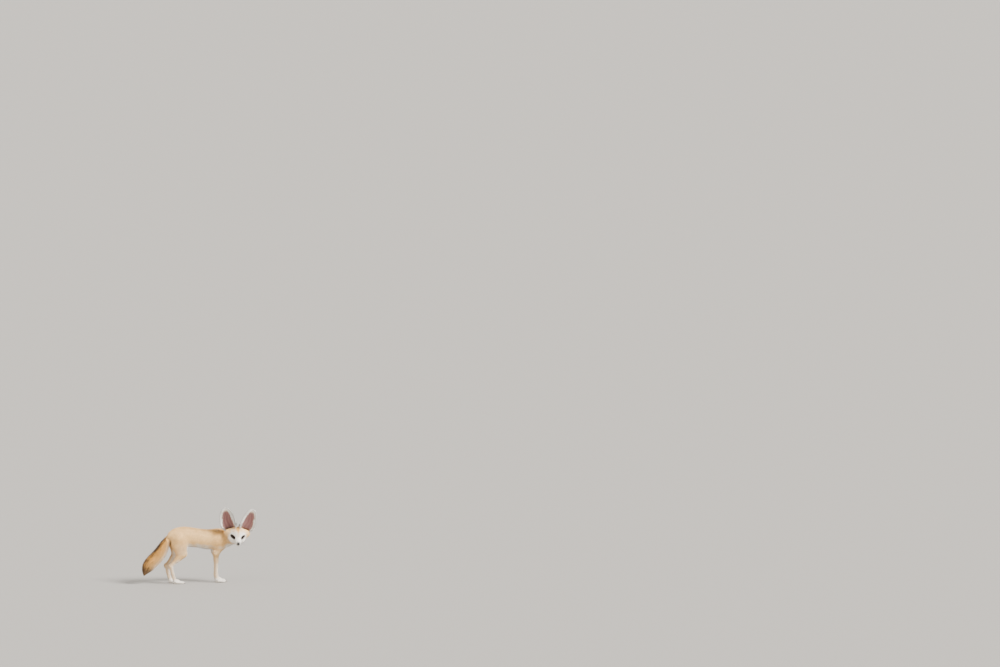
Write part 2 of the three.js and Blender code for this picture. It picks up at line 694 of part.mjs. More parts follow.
// A point on the middle of the left ear's wall: s up the ear from 0 to 1, t across it from -1 to 1
function earWall(s, t, splay) {
  const { along, left, ahead, reach } = earFrame(splay);
  const half = (earShape(s, 1) * earWidth) / 2;
  const edge = THREE.MathUtils.degToRad(earShape(s, 2));
  const angle = t * edge;
  const widest = Math.sin(Math.min(edge, Math.PI / 2));
  const round = half / widest;
  const back = earShape(s, 3) * round * (Math.cos(angle) - Math.cos(edge));
  const bow = earBow * Math.sin(Math.PI * s) ** 2;
  const rooted = clamp(s / earTuck.share, 0, 1);
  const tuck = earTuck.depth * (1 - rooted * rooted * (3 - 2 * rooted));
  let p = add(earBase, along, s * reach);
  const inward = earInward.depth * Math.max(1 - s / earInward.share, 0) ** 2;
  p = add(p, left, round * Math.sin(angle) - inward);
  return add(p, ahead, earAhead - back - bow - tuck);
}
const earRows = 10;
const earColumns = 10;
function earShell(splay) {
  const step = 1e-3;
  const wall = (s, t) => earWall(s, t, splay);
  const rings = [];
  for (let r = 0; r <= earRows; r++) {
    const s = r / earRows;
    const [inner, outer] = [[], []];
    for (let c = 0; c <= earColumns; c++) {
      const t = (c / earColumns) * 2 - 1;
      const p = wall(s, t);
      const up = sub(wall(Math.min(s + step, 1), t), wall(Math.max(s - step, 0), t));
      const acrossIt = sub(wall(s, Math.min(t + step, 1)), wall(s, Math.max(t - step, -1)));
      const normal = unit(cross(acrossIt, up));
      const half = (earThickness / 2) * (1 - 0.35 * Math.abs(t) ** 3) * (1 - 0.3 * s);
      inner.push(add(p, normal, half));
      outer.push(add(p, normal, -half));
    }
    rings.push([...inner, ...outer.reverse()]);
  }
  return rings;
}
// Rings that are thin bent bands: their ends are filled quad by quad
function bandLoft(rings) {
  const n = rings[0].length;
  const half = n / 2;
  const points = rings.flat();
  const faces = [];
  for (let r = 0; r < rings.length - 1; r++)
    for (let i = 0; i < n; i++) {
      const [a, b] = [r * n + i, r * n + ((i + 1) % n)];
      faces.push([a, b, b + n], [a, b + n, a + n]);
    }
  const end = (rings.length - 1) * n;
  for (let i = 0; i < half - 1; i++) {
    const [a, b, c, d] = [i, i + 1, n - 2 - i, n - 1 - i];
    faces.push([a, c, b], [a, d, c], [end + a, end + b, end + c], [end + a, end + c, end + d]);
  }
  const volume = faces.reduce((v, [a, b, c]) => v + dot(points[a], cross(points[b], points[c])), 0);
  if (volume < 0) faces.forEach((f) => f.reverse());
  return { points, faces };
}
function ear(side) {
  const shell = bandLoft(earShell(side > 0 ? earSplay.left : earSplay.right));
  shell.points = shell.points.map((p) => fromHead(mirrored(p, side)));
  if (side < 0) shell.faces.forEach((f) => f.reverse());
  return solidOf(geometryOf(shell));
}

// Locks of long coat: flat, tapered and bent, four sides to a ring, closed at a pointed tip.
// shapeAt(s) gives a ring's centre and its half width and half thickness as vectors, from root to tip.
function lockSolid(rings, shapeAt) {
  const points = [];
  const faces = [];
  for (let r = 0; r < rings; r++) {
    const { centre, wide, thick } = shapeAt(r / rings);
    points.push(add(centre, wide), add(centre, thick), add(centre, wide, -1), add(centre, thick, -1));
  }
  points.push(shapeAt(1).centre);
  for (let r = 0; r < rings - 1; r++)
    for (let i = 0; i < 4; i++) {
      const [a, b] = [r * 4 + i, r * 4 + ((i + 1) % 4)];
      faces.push([a, b, b + 4], [a, b + 4, a + 4]);
    }
  const last = (rings - 1) * 4;
  for (let i = 0; i < 4; i++) faces.push([last + i, last + ((i + 1) % 4), points.length - 1]);
  faces.push([0, 2, 1], [0, 3, 2]);
  const volume = faces.reduce((v, [a, b, c]) => v + dot(points[a], cross(points[b], points[c])), 0);
  if (volume < 0) faces.forEach((f) => f.reverse());
  return solidOf(geometryOf({ points, faces }));
}
// Even random numbers from 0 to 1, the same in every build
function randomFrom(seed) {
  let state = seed;
  return () => {
    state = (state * 48271) % 2147483647;
    return state / 2147483647;
  };
}
const around = (random, spread) => (random() * 2 - 1) * spread;

// The tail's line as a function of the length along it, carried on straight past its last row
const tailLengths = [0];
for (const [i, [x, z]] of tailPath.slice(1).entries())
  tailLengths.push(tailLengths[i] + Math.hypot(x - tailPath[i][0], z - tailPath[i][1]));
const tailAt = smoothTable(tailPath.map((row, i) => [tailLengths[i], ...row]));
const tailEnd = tailLengths.at(-1);
function tailPoint(u) {
  const at = (v) => [tailAt(v, 1), 0, tailAt(v, 2)];
  const near = Math.min(u, tailEnd);
  const along = unit(sub(at(near), at(near - 1)));
  return { place: add(at(near), along, u - near), along, upper: cross(along, [0, 1, 0]) };
}
const tailLocks = { first: 4, last: 174, rows: 9, mostInRow: 7, length: 48, thickness: 8, rings: 3 };
function tailLockSolids() {
  const random = randomFrom(41);
  const { first, last, rows, mostInRow, length: long, thickness, rings } = tailLocks;
  const solids = [];
  for (let row = 0; row < rows; row++) {
    const share = row / (rows - 1);
    const start = mix(first, last, share);
    const size = tailAt(start, 3);
    const count = Math.round(mix(3, mostInRow, size));
    for (let i = 0; i < count; i++) {
      const from = start + around(random, 4);
      const reach = long * mix(0.55, 1, size) * (1 + around(random, 0.1));
      const to = Math.min(from + reach, tailEnd + 6);
      const angle = ((i + (row % 2) / 2 + around(random, 0.06)) / count) * Math.PI * 2;
      const twist = around(random, 0.22);
      const lift = 1 + around(random, 0.06);
      const shapeAt = (s) => {
        const u = mix(from, to, s);
        const { place, along, upper } = tailPoint(u);
        const coat = tailAt(Math.min(u, tailEnd), 3) * tailRadius * lift;
        const root = tailAt(from, 4) * tailRadius - 4;
        const out = mix(root, coat - 1, 1 - (1 - s) ** 2) * clamp((tailEnd + 8 - u) / 16, 0.1, 1);
        const turn = angle + twist * s;
        const radial = add([0, 0, 0].map((_, n) => upper[n] * Math.cos(turn)), [0, 1, 0], Math.sin(turn));
        const across = unit(cross(along, radial));
        const width = 1.9 * out * Math.tan(Math.PI / count) * (1 - s ** 4);
        const taper = 1 - 0.8 * s ** 2;
        return {
          centre: add(place, radial, out),
          wide: across.map((v) => (v * width) / 2),
          thick: radial.map((v) => (v * thickness * taper) / 2),
        };
      };
      solids.push(lockSolid(rings, shapeAt));
    }
  }
  return solids;
}

// Ear fringe: pale locks from the inner side of each edge, up and over the cup
const fringes = [
  { edge: -0.74, from: 0.16, to: 0.66, count: 6, length: 27, inward: 0.4 },
  { edge: 0.78, from: 0.16, to: 0.4, count: 3, length: 22, inward: 0.35 },
];
const fringe = { width: 7, thickness: 1.5, ahead: 0.3, rings: 3 };
function fringeSolids(side) {
  const splay = side > 0 ? earSplay.left : earSplay.right;
  const random = randomFrom(side > 0 ? 17 : 29);
  const frameOfEar = earFrame(splay);
  return fringes.flatMap(({ edge, from, to, count, length: long, inward }) =>
    Array.from({ length: count }, (_, i) => {
      const s = mix(from, to, i / (count - 1)) + around(random, 0.012);
      const root = earWall(s, edge, splay);
      const centre = earWall(s, 0, splay);
      const up = unit(sub(earWall(s + 0.02, edge, splay), root));
      const across = unit(sub(centre, root));
      const reach = long * (1 - 0.3 * s) * (1 + around(random, 0.15));
      const lean = inward * (1 + around(random, 0.2));
      const shapeAt = (t) => {
        const turnedIn = add(up, across, lean * (0.7 + 0.5 * t));
        const ahead = unit(add(turnedIn, frameOfEar.ahead, fringe.ahead * (1 - 0.6 * t)));
        const wide = unit(cross(ahead, cross(up, across)));
        const taper = t < 0.3 ? mix(0.4, 1, t / 0.3) : 1 - ((t - 0.3) / 0.7) ** 1.6;
        return {
          centre: add(root, ahead, t * reach),
          wide: wide.map((v) => (v * fringe.width * taper) / 2),
          thick: unit(cross(ahead, wide)).map((v) => (v * fringe.thickness * taper) / 2),
        };
      };
      return lockSolid(fringe.rings, (t) => {
        const { centre, wide, thick } = shapeAt(t);
        const place = (p) => fromHead(mirrored(p, side));
        const at = place(centre);
        const turned = (way) => sub(place(add(centre, way)), at);
        return { centre: at, wide: turned(wide), thick: turned(thick) };
      });
    }),
  );
}

// Claws: one short curved cone at the tip of each toe
const claw = { length: 7.5, radius: 1.5, sides: 6, rings: 4, sink: 3 };
function clawSolid(tip, ahead) {
  const rings = [];
  for (let r = 0; r < claw.rings; r++) {
    const s = r / (claw.rings - 1);
    const along = -claw.sink + s * (claw.length + claw.sink);
    const drop = 2.4 * s * s;
    const radius = claw.radius * mix(1, 0.16, s ** 1.3);
    const centre = add(add(tip, ahead, along), [0, 0, -drop]);
    const wide = unit(cross(ahead, [0, 0, 1]));
    const ring = [];
    for (let i = 0; i < claw.sides; i++) {
      const angle = (i / claw.sides) * Math.PI * 2;
      ring.push(add(add(centre, wide, radius * 0.8 * Math.cos(angle)), [0, 0, radius * Math.sin(angle)]));
    }
    rings.push(ring);
  }
  return solidOf(loft(rings));
}
const pawsOf = {
  hind: { root: hindJoints.ball, stance: stanceHind },
  fore: { root: foreJoints.root, stance: stanceFore },
};
function claws(name, side) {
  const { root, stance } = pawsOf[name];
  const place = [root[0] + strideAt(name, side, 0), side * stance, root[1]];
  return toes.map((k) => {
    const [from, to] = toeLine(place, pawReach[name], k);
    const ahead = unit([to[0] - from[0], to[1] - from[1], 0]);
    return clawSolid(add(add(to, ahead, 4), [0, 0, 0.2]), ahead);
  });
}

// The parts, each cut from the body by its own region
const solids = {};
const regions = { head: (grow) => beyond(headCut.point, headCut.direction, grow) };
regions.tail = (grow) => beyond(tailCut.point, tailCut.direction, grow).intersect(tailSpace(grow));
for (const [sideName, side] of [["left", 1], ["right", -1]])
  for (const name of ["fore", "hind"])
    regions[`${name}_leg_${sideName}`] = (grow) => legRegion(name, side, grow);
let rest = body;
for (const [name, region] of Object.entries(regions)) {
  solids[name] = rest.intersect(region(0));
  rest = rest.subtract(region(gap));
}
solids.neck = rest.intersect(beyond(neckCut.point, neckCut.direction, 0));
solids.torso = rest.subtract(beyond(neckCut.point, neckCut.direction, gap));
for (const [sideName, side] of [["left", 1], ["right", -1]]) {
  for (const name of ["fore", "hind"])
    for (const one of claws(name, side)) {
      const node = `${name}_leg_${sideName}`;
      solids[node] = solids[node].add(one.intersect(floorBlock));
    }
  const lids = solidOf(eyeball(side, eyeRadius + 1.5, 12)).subtract(eyeOpening(side));
  const socket = solidOf(eyeball(side, eyeRadius + gap, 12));
  solids.head = solids.head.add(lids).subtract(eyeOpening(side)).subtract(socket).subtract(mouth(side));
  solids[`eye_${sideName}`] = solidOf(eyeball(side, eyeRadius, 8));
}
solids.head = solids.head.subtract(nosePad(gap));
solids.nose = nosePad(0).subtract(nostril(1)).subtract(nostril(-1));
const tailWithLocks = wasm.Manifold.union([solids.tail, ...tailLockSolids()]);
solids.tail = tailWithLocks.intersect(regions.tail(0)).intersect(floorBlock);
const roomsForEars = [gap * 1.5, gap * 3];
const underEars = ["head", "neck", "torso"].flatMap((name) => [
  solids[name],
  ...roomsForEars.map((room) => grownSolid(solids[name], room)),
]);
for (const [sideName, side] of [["left", 1], ["right", -1]])
  solids[`ear_${sideName}`] = underEars.reduce(
    (shell, under) => shell.subtract(under),
    wasm.Manifold.union([ear(side), ...fringeSolids(side)]),
  );

// Colours, as in daylight
const coat = { cream: "#d9c4a0", pale: "#e9dfc9", sand: "#c9a878", dark: "#1c1613", wet: "#17120f" };
const finishes = {
  head: coat.pale,
  neck: coat.cream,
  torso: coat.cream,
  tail: coat.sand,
  leg: coat.pale,
  ear: coat.cream,
  eye: coat.wet,
  nose: coat.dark,
};
const fox3d = new THREE.Group();
for (const [name, solid] of Object.entries(solids)) {
  const kind = Object.keys(finishes).find((k) => name.includes(k));
  const shiny = kind === "eye" || kind === "nose";
  const material = new THREE.MeshStandardMaterial({
    color: finishes[kind],
    roughness: shiny ? 0.15 : 0.95,
    metalness: 0,
  });
  const mesh = new THREE.Mesh(tidied(geometryOfSolid(largest(solid))), material);
  mesh.name = name;
  fox3d.add(mesh);
}
const bounds = new THREE.Box3().setFromObject(fox3d);
const middle = bounds.getCenter(new THREE.Vector3());
fox3d.position.set(-middle.x, -middle.y, -bounds.min.z);
fox3d.updateMatrixWorld(true);

export default fox3d;
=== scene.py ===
import math

import bpy
import numpy as np
from mathutils import Matrix, Vector


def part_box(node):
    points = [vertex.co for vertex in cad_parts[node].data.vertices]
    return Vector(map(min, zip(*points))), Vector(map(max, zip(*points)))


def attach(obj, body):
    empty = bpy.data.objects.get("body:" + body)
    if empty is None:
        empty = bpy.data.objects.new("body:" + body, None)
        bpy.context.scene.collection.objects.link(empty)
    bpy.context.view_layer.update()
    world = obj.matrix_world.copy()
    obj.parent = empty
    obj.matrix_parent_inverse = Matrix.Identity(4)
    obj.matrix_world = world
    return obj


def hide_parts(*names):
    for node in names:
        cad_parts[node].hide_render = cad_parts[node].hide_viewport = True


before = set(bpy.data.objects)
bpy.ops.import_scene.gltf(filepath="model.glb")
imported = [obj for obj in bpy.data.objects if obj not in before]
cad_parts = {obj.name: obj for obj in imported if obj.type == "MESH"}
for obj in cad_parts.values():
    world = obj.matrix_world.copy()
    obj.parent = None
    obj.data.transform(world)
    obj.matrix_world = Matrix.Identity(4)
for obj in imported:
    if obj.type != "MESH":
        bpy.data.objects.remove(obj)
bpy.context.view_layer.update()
mm = 0.001


def unit(v):
    v = np.asarray(v, float)
    return v / np.maximum(np.linalg.norm(v, axis=-1, keepdims=True), 1e-9)


def step(low, high, x):
    t = np.clip((x - low) / (high - low), 0, 1)
    return t * t * (3 - 2 * t)


def bell(x, wide, at=0):
    return np.exp(-(((x - at) / wide) ** 2))


def grid(a, b):
    return (g.ravel() for g in np.meshgrid(a, b, indexing="ij"))


# camera: a long lens from the fox's right rear, a little above it, with the fox low on the left
cameraSet = {
    "mmPerPixel": 3.9,
    "lens": 400,
    "sensor": 36,
    "azimuth": -18,
    "elevation": 5,
    "picture": (1000, 667),
    "foxOrigin": (198, 582.6),  # where the floor under the middle of the fox's body is in the picture
}

# the head's own frame: x to the nose, y to its left, z up through the crown, origin between the eyes
headSet = {"yaw": -100, "pitch": 16.5, "roll": -4, "eyesMiddle": (140, -73.5, 183.3)}


def turned(axis, degrees):
    c, s = math.cos(math.radians(degrees)), math.sin(math.radians(degrees))
    a, b = [(1, 2), (2, 0), (0, 1)][axis]
    m = np.eye(3)
    m[a, a], m[a, b], m[b, a], m[b, b] = c, -s, s, c
    return m


headAxes = turned(2, headSet["yaw"]) @ turned(1, headSet["pitch"]) @ turned(0, headSet["roll"])
eyesMiddle = np.array(headSet["eyesMiddle"], float)


def toHead(p):
    return (p - eyesMiddle) @ headAxes


def fromHead(q):
    return np.asarray(q, float) @ headAxes.T + eyesMiddle


def leftHalf(q):
    # a place in the head's frame, folded over to its left side
    return np.stack([q[:, 0], np.abs(q[:, 1]), q[:, 2]], 1)


# the fox is drawn in millimetres from the floor under the middle of its body. The frame's origin is
# elsewhere, and the left eye says how far.
eyeSet = {"spacing": 28, "radius": 7.2, "facing": (0.8, 0.56, 0.16)}
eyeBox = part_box("eye_left")
leftEye = fromHead([0, eyeSet["spacing"] / 2, 0])
shift = np.array((eyeBox[0] + eyeBox[1]) / 2) / mm - leftEye


def toFrame(p):
    return (np.asarray(p, float) + shift) * mm


def makeCamera():
    s = cameraSet
    a, e = math.radians(s["azimuth"]), math.radians(s["elevation"])
    right = np.array([math.cos(a), math.sin(a), 0])
    back = np.array([math.sin(a) * math.cos(e), -math.cos(a) * math.cos(e), math.sin(e)])
    up = np.cross(back, right)
    across = (s["picture"][0] / 2 - s["foxOrigin"][0]) * s["mmPerPixel"]
    above = (s["foxOrigin"][1] - s["picture"][1] / 2) * s["mmPerPixel"]
    distance = s["picture"][0] * s["mmPerPixel"] * s["lens"] / s["sensor"]
    data = bpy.data.cameras.new("longLens")
    data.lens, data.sensor_width = s["lens"], s["sensor"]
    data.clip_start, data.clip_end = 1, 1000
    camera = bpy.data.objects.new("longLens", data)
    bpy.context.scene.collection.objects.link(camera)
    place = toFrame(right * across + up * above + back * distance)
    rows = [[right[i], up[i], back[i], place[i]] for i in range(3)]
    camera.matrix_world = Matrix(rows + [[0, 0, 0, 1]])
    bpy.context.scene.camera = camera
    return camera


makeCamera()
print("camera made")

# body outline: share of the body's length, top line, belly line, half width
trunkSet = {
    "length": 236,
    "stations": [
        (-0.5, 202, 170, 13),
        (-0.445, 211, 158, 23),
        (-0.36, 219, 150, 29),
        (-0.25, 222, 144, 31),
        (-0.14, 219.5, 140, 29),
        (-0.02, 214.5, 137, 30.5),
        (0.11, 209.5, 130, 33.5),
        (0.235, 207.5, 127, 33.5),
        (0.34, 206, 123, 31),
        (0.425, 203, 131, 26),
        (0.5, 195, 147, 17),
    ],
}
trunkRows = np.array(trunkSet["stations"], float)
trunkRows[:, 0] *= trunkSet["length"]


def smoothTable(rows, x, column):
    rows = np.asarray(rows, float)
    k, v = rows[:, 0], rows[:, column]
    before, after = np.maximum(np.arange(len(k)) - 1, 0), np.minimum(np.arange(len(k)) + 1, len(k) - 1)
    slope = (v[after] - v[before]) / (k[after] - k[before])
    i = np.clip(np.searchsorted(k, x, side="right") - 1, 0, len(k) - 2)
    w = k[i + 1] - k[i]
    t = np.clip((x - k[i]) / w, 0, 1)
    t2, t3 = t * t, t * t * t
    return (
        (2 * t3 - 3 * t2 + 1) * v[i]
        + (t3 - 2 * t2 + t) * w * slope[i]
        + (3 * t2 - 2 * t3) * v[i + 1]
        + (t3 - t2) * w * slope[i + 1]
    )


# distances to simple rounded forms, negative inside
def limb(p, a, b, ra, rb):
    a, ab = np.asarray(a, float), np.asarray(b, float) - np.asarray(a, float)
    t = np.clip((p - a) @ ab / (ab @ ab), 0, 1)
    return np.linalg.norm(p - a - t[:, None] * ab, axis=1) - (ra + (rb - ra) * t)


def ellipsoid(p, centre, radii):
    q = (p - np.asarray(centre, float)) / np.asarray(radii, float)
    k0 = np.linalg.norm(q, axis=1)
    k1 = np.linalg.norm(q / np.asarray(radii, float), axis=1)
    return np.where(k1 < 1e-9, -min(radii), k0 * (k0 - 1) / np.maximum(k1, 1e-9))


def join(a, b, k):
    h = np.maximum(k - np.abs(a - b), 0) / k
    return np.minimum(a, b) - h * h * k / 4


def where(p, mask, far, form):
    d = np.full(len(p), float(far))
    if mask.any():
        d[mask] = form(p[mask])
    return d


def trunkAt(x):
    # the nearest place along the trunk, and its top line, belly line and half width
    x = np.clip(x, trunkRows[0, 0], trunkRows[-1, 0])
    return x, *(smoothTable(trunkRows, x, column) for column in (1, 2, 3))


def trunk(p):
    x, top, bottom, half = trunkAt(p[:, 0])
    dz = p[:, 2] - (top + bottom) / 2
    away = np.hypot(p[:, 1], dz)
    share = np.maximum(np.hypot(p[:, 1] / half, dz / ((top - bottom) / 2)), 1e-6)
    inPlane = away * (1 - 1 / share)
    past = p[:, 0] - x
    ends = np.hypot(past, np.maximum(inPlane, 0)) + np.minimum(inPlane, 0) * 0.2
    return np.where(past == 0, inPlane, ends)


neckPath = [(84, 0, 168, 37), (114, -3, 169, 32), (136, -12, 174, 27), (149, -30, 181, 24)]


def neck(p):
    d = np.full(len(p), 1e3)
    for a, b in zip(neckPath, neckPath[1:]):
        d = join(d, limb(p, a[:3], b[:3], a[3], b[3]), 8)
    return d


# legs. Places are ahead, outward from the leg's middle, and up. A limb has two ends, a radius at each, and
# how softly it joins what is above it.
legSet = {
    "hind": {
        "stance": 22,
        "stride": -6,  # the left leg stands this far ahead of the right one
        "reach": 34,
        "top": ((-77, -4, 160), (35, 17, 38)),
        "limbs": [
            ((-80, -6, 178), (-68, 1, 118), 24, 15.5, 14),
            ((-92, -2, 150), (-84, 0, 118), 15, 11, 14),
            ((-68, 1, 118), (-89.6, 0.5, 96.85), 15, 11.5, 10),
            ((-82.4, 0.5, 103.9), (-116, 0, 71), 11.5, 7, 8),
            ((-122, 0, 72), (-121, 0, 64), 4.2, 4.2, 5),
            ((-116, 0, 71), (-110, 0, 42), 7.6, 6.3, 5),
            ((-110, 0, 42), (-101, 0, 12), 6.3, 7.2, 5),
        ],
        "paw": (-101, 12),
        "pawWidth": 8.2,
        "pawJoin": 5,
        # which way the hair lies at each height: ahead and up
        "lie": [
            (0, 1, -0.15),
            (16, 0.75, -0.65),
            (30, 0.2, -1),
            (71, 0.2, -1),
            (82, -0.6, -0.8),
            (112, -0.55, -0.85),
            (130, -0.25, -1),
            (200, -0.45, -0.9),
        ],
    },
    "fore": {
        "stance": 19,
        "stride": 9,
        "reach": 31,
        "top": ((80, 4, 172), (22, 11, 34)),
        "limbs": [
            ((97, 0, 148), (68, 2, 119), 15.5, 12.5, 14),
            ((68, 2, 119), (69, 1, 84), 11.5, 8, 10),
            ((60, 1, 118), (62, 1, 112), 5, 4, 6),
            ((69, 1, 84), (68, 0, 30), 8, 7, 5),
            ((68, 0, 30), (71, 0, 15), 7.4, 8.2, 5),
        ],
        "paw": (71, 13),
        "pawWidth": 8.8,
        "pawJoin": 6,
        "lie": [
            (0, 1, -0.15),
            (14, 0.8, -0.6),
            (28, 0.05, -1),
            (120, -0.08, -1),
            (150, -0.3, -0.95),
            (200, -0.6, -0.8),
        ],
    },
}
strideSet = {"high": 150, "low": 95}  # a left leg keeps its stride in full below low, and none over high
toeSet = {"spread": 4.7, "outerBack": 5, "radii": (5.4, 4.9), "join": 2.2}
toes = (-1.5, -0.5, 0.5, 1.5)


def strideAt(name, side, z):
    if side < 0:
        return 0 * z
    return legSet[name]["stride"] * step(strideSet["high"], strideSet["low"], z)


def toeLine(root, reach, k):
    spread, back = toeSet["spread"], toeSet["outerBack"]
    start = (root[0] + 4, root[1] + k * spread * 0.8, 7.5)
    end = (root[0] + reach - (0 if abs(k) < 1 else back), root[1] + k * spread * 1.12, 4.6)
    return start, end


def paw(p, root, reach, wide):
    def form(p):
        d = ellipsoid(p, (root[0] + 7, root[1], 8.5), (15, wide, 9.8))
        for k in toes:
            a, b = toeLine(root, reach, k)
            d = join(d, limb(p, a, b, *toeSet["radii"]), toeSet["join"])
        return d

    return where(p, p[:, 2] <= 45, 50, form)


def leg(p, name, side):
    s = legSet[name]
    p = p - strideAt(name, side, p[:, 2])[:, None] * (1, 0, 0)
    y = side * s["stance"]

    def at(place):
        return (place[0], y + side * place[1], place[2])

    d = ellipsoid(p, at(s["top"][0]), s["top"][1])
    for a, b, ra, rb, soft in s["limbs"]:
        d = join(d, limb(p, at(a), at(b), ra, rb), soft)
    x, z = s["paw"]
    return join(d, paw(p, (x, y, z), s["reach"], s["pawWidth"]), s["pawJoin"])


# the head's left half: egg shapes (centre, radii) and limbs (ends, radii), each with how softly it joins
headForms = [
    ((-23, 0, 6), (30, 27, 25), 0),  # braincase
    ((-4, 0, 6), (17, 21, 16), 12),  # brow
    ((-22, 20, 0), (19, 19, 21), 12),  # temple
    ((-13, 15, -16), (20, 15.5, 15.5), 12),  # cheek
    ((4, 0, -6), (24, 0, -11), 17, 11, 8),  # muzzle
    ((22, 0, -11), (38, 0, -14.5), 11, 7, 6),
    ((22, 4, -15), (34, 3.2, -17.5), 6.2, 4.6, 4),  # upper lip
    ((-12, 8, -20), (31, 0, -22.5), 11.5, 4.8, 8),  # jaw
    ((-26, 35, 4), (15, 17, 14), 12),  # foot of the ear
]


def head(p):
    m = leftHalf(toHead(p))
    d = None
    for *form, soft in headForms:
        one = ellipsoid(m, *form) if len(form) == 2 else limb(m, *form)
        d = one if d is None else join(d, one, soft)
    return d


def headNear(p, far):
    return where(p, (p[:, 0] > 60) & (p[:, 2] > 90), far, head)


# tail: places from the rump down, each with how far the coat and the core under it reach, as shares
tailSet = {
    "reach": 28.8,
    "path": [
        (-106, 184, 0.4, 0.38),
        (-126, 168, 0.56, 0.41),
        (-139, 146, 0.8, 0.42),
        (-153, 122, 0.96, 0.45),
        (-172, 101, 1, 0.48),
        (-187, 87, 1, 0.46),
        (-198, 75, 0.9, 0.4),
        (-208, 61, 0.64, 0.28),
        (-214, 49, 0.4, 0.17),
        (-217.5, 39, 0.18, 0.07),
    ],
}


def tailCore(p):
    d = np.full(len(p), 1e3)
    size = tailSet["reach"]
    path = tailSet["path"]
    for a, b in zip(path, path[1:]):
        d = join(d, limb(p, (a[0], 0, a[1]), (b[0], 0, b[1]), a[3] * size, b[3] * size), 8)
    return d


# what the coat's depth takes off the solid's outline to leave the skin, in millimetres
depthSet = {"body": 4.6, "leg": 1.7, "paw": 1.0, "cheek": 3.2, "face": 0.9, "tail": 0.4}


def coatDepth(p):
    s = depthSet
    z = p[:, 2]
    depth = s["leg"] + (s["body"] - s["leg"]) * step(88, 140, z)
    depth -= (s["leg"] - s["paw"]) * (1 - step(18, 34, z))
    q = toHead(p)
    near = 1 - step(42, 66, np.linalg.norm(q - (-12, 0, -4), axis=1))
    depth += near * (s["cheek"] + (s["face"] - s["cheek"]) * step(-16, 14, q[:, 0]) - depth)
    return depth + step(-118, -134, p[:, 0]) * (s["tail"] - depth) * (z > 92)


mouthLine = [(41, 0.5, -18.2), (37, 5, -18.8), (30, 8, -19.2), (22, 11.5, -19.6), (12, 15.5, -21)]
noseTip = (45, 0, -13)
lidSet = {"thick": 1.1, "halfWide": 8.8, "halfTall": 5.3, "tilt": 18}
faceSet = {
    "lidJoin": 3.5,  # how softly the eyelids join the face
    "crease": (9.6, 0.9, 0.55),  # fold over the eye: distance from its middle, width and depth
    "seam": (0.9, 1.3),  # mouth: width and depth, with a lip on either side
    "lip": (2.2, 1.2, 0.35),  # distance from the seam, width and height
    "underNose": (0.7, 0.8),  # groove from the nose to the mouth: width and depth
}
facing = unit(eyeSet["facing"])
lidRight = unit(np.cross((0, 0, 1), facing))
lidUp = np.cross(facing, lidRight)


def lineDistance(m, line):
    return np.min([limb(m, a, b, 0, 0) for a, b in zip(line, line[1:])], axis=0)


def eyeLocal(m):
    # across, up and ahead of the eye, for points on its side of the head
    v = m - (0, eyeSet["spacing"] / 2, 0)
    a, b, c = v @ lidRight, v @ lidUp, v @ facing
    tilt = math.radians(lidSet["tilt"])
    return a * math.cos(tilt) + b * math.sin(tilt), b * math.cos(tilt) - a * math.sin(tilt), c, v


def lidOpening(a, b):
    # below zero in the almond between the lids, in millimetres
    s = lidSet
    across = np.abs(a + 0.5) / s["halfWide"]
    tall = s["halfTall"] * (1 - np.minimum(across, 1.4) ** 2.4)
    return np.abs(b) - tall


def faceForm(d, p):
    s = faceSet
    m = leftHalf(toHead(p))
    a, b, c, v = eyeLocal(m)
    reach = np.linalg.norm(v, axis=1)
    lid = reach - (eyeSet["radius"] + lidSet["thick"])
    d = join(d, lid, s["lidJoin"])
    place, wide, deep = s["crease"]
    d = d + deep * bell(reach, wide, place) * step(0, 3, b) * step(0, 4, c)
    opening = np.maximum(lidOpening(a, b), 1.5 - c)
    d = -join(-d, opening, 1.0)
    seam = lineDistance(m, mouthLine)
    place, wide, tall = s["lip"]
    lip = tall * bell(seam, wide, place)
    d = d + s["seam"][1] * bell(seam, s["seam"][0]) - lip
    wide, deep = s["underNose"]
    under = bell(m[:, 1], wide) * step(36, 39, m[:, 0]) * step(-21, -18.5, m[:, 2])
    return d + deep * under * (m[:, 2] < -13)


def foxField(p):
    # each form is worked out only where it can be near
    d = trunk(p)
    d = join(d, where(p, p[:, 0] < -80, 1e3, tailCore), 9)
    d = join(d, where(p, p[:, 0] > 20, 1e3, neck), 22)
    d = join(d, headNear(p, 1e3), 12)
    for side in (-1, 1):
        own = p[:, 1] * side > -30
        d = join(d, where(p, own & (p[:, 0] < 10), 1e3, lambda x: leg(x, "hind", side)), 10)
        d = join(d, where(p, own & (p[:, 0] > 10), 1e3, lambda x: leg(x, "fore", side)), 10)
    return d


def skinField(p):
    d = foxField(p) + coatDepth(p)
    q = toHead(p)
    face = (q[:, 0] > -20) & (np.abs(q[:, 1]) < 34) & (np.abs(q[:, 2]) < 34) & (q[:, 0] < 55)
    if face.any():
        d[face] = faceForm(d[face], p[face])
    return d


def slope(field, p, h=0.15):
    out = np.zeros_like(p)
    for c in ((1, 1, 1), (1, -1, -1), (-1, 1, -1), (-1, -1, 1)):
        out += field(p + np.array(c) * h)[:, None] * np.array(c)
    return out / (4 * h)


def inChunks(field, p, size=150000):
    return np.concatenate([field(p[i : i + size]) for i in range(0, len(p), size)])


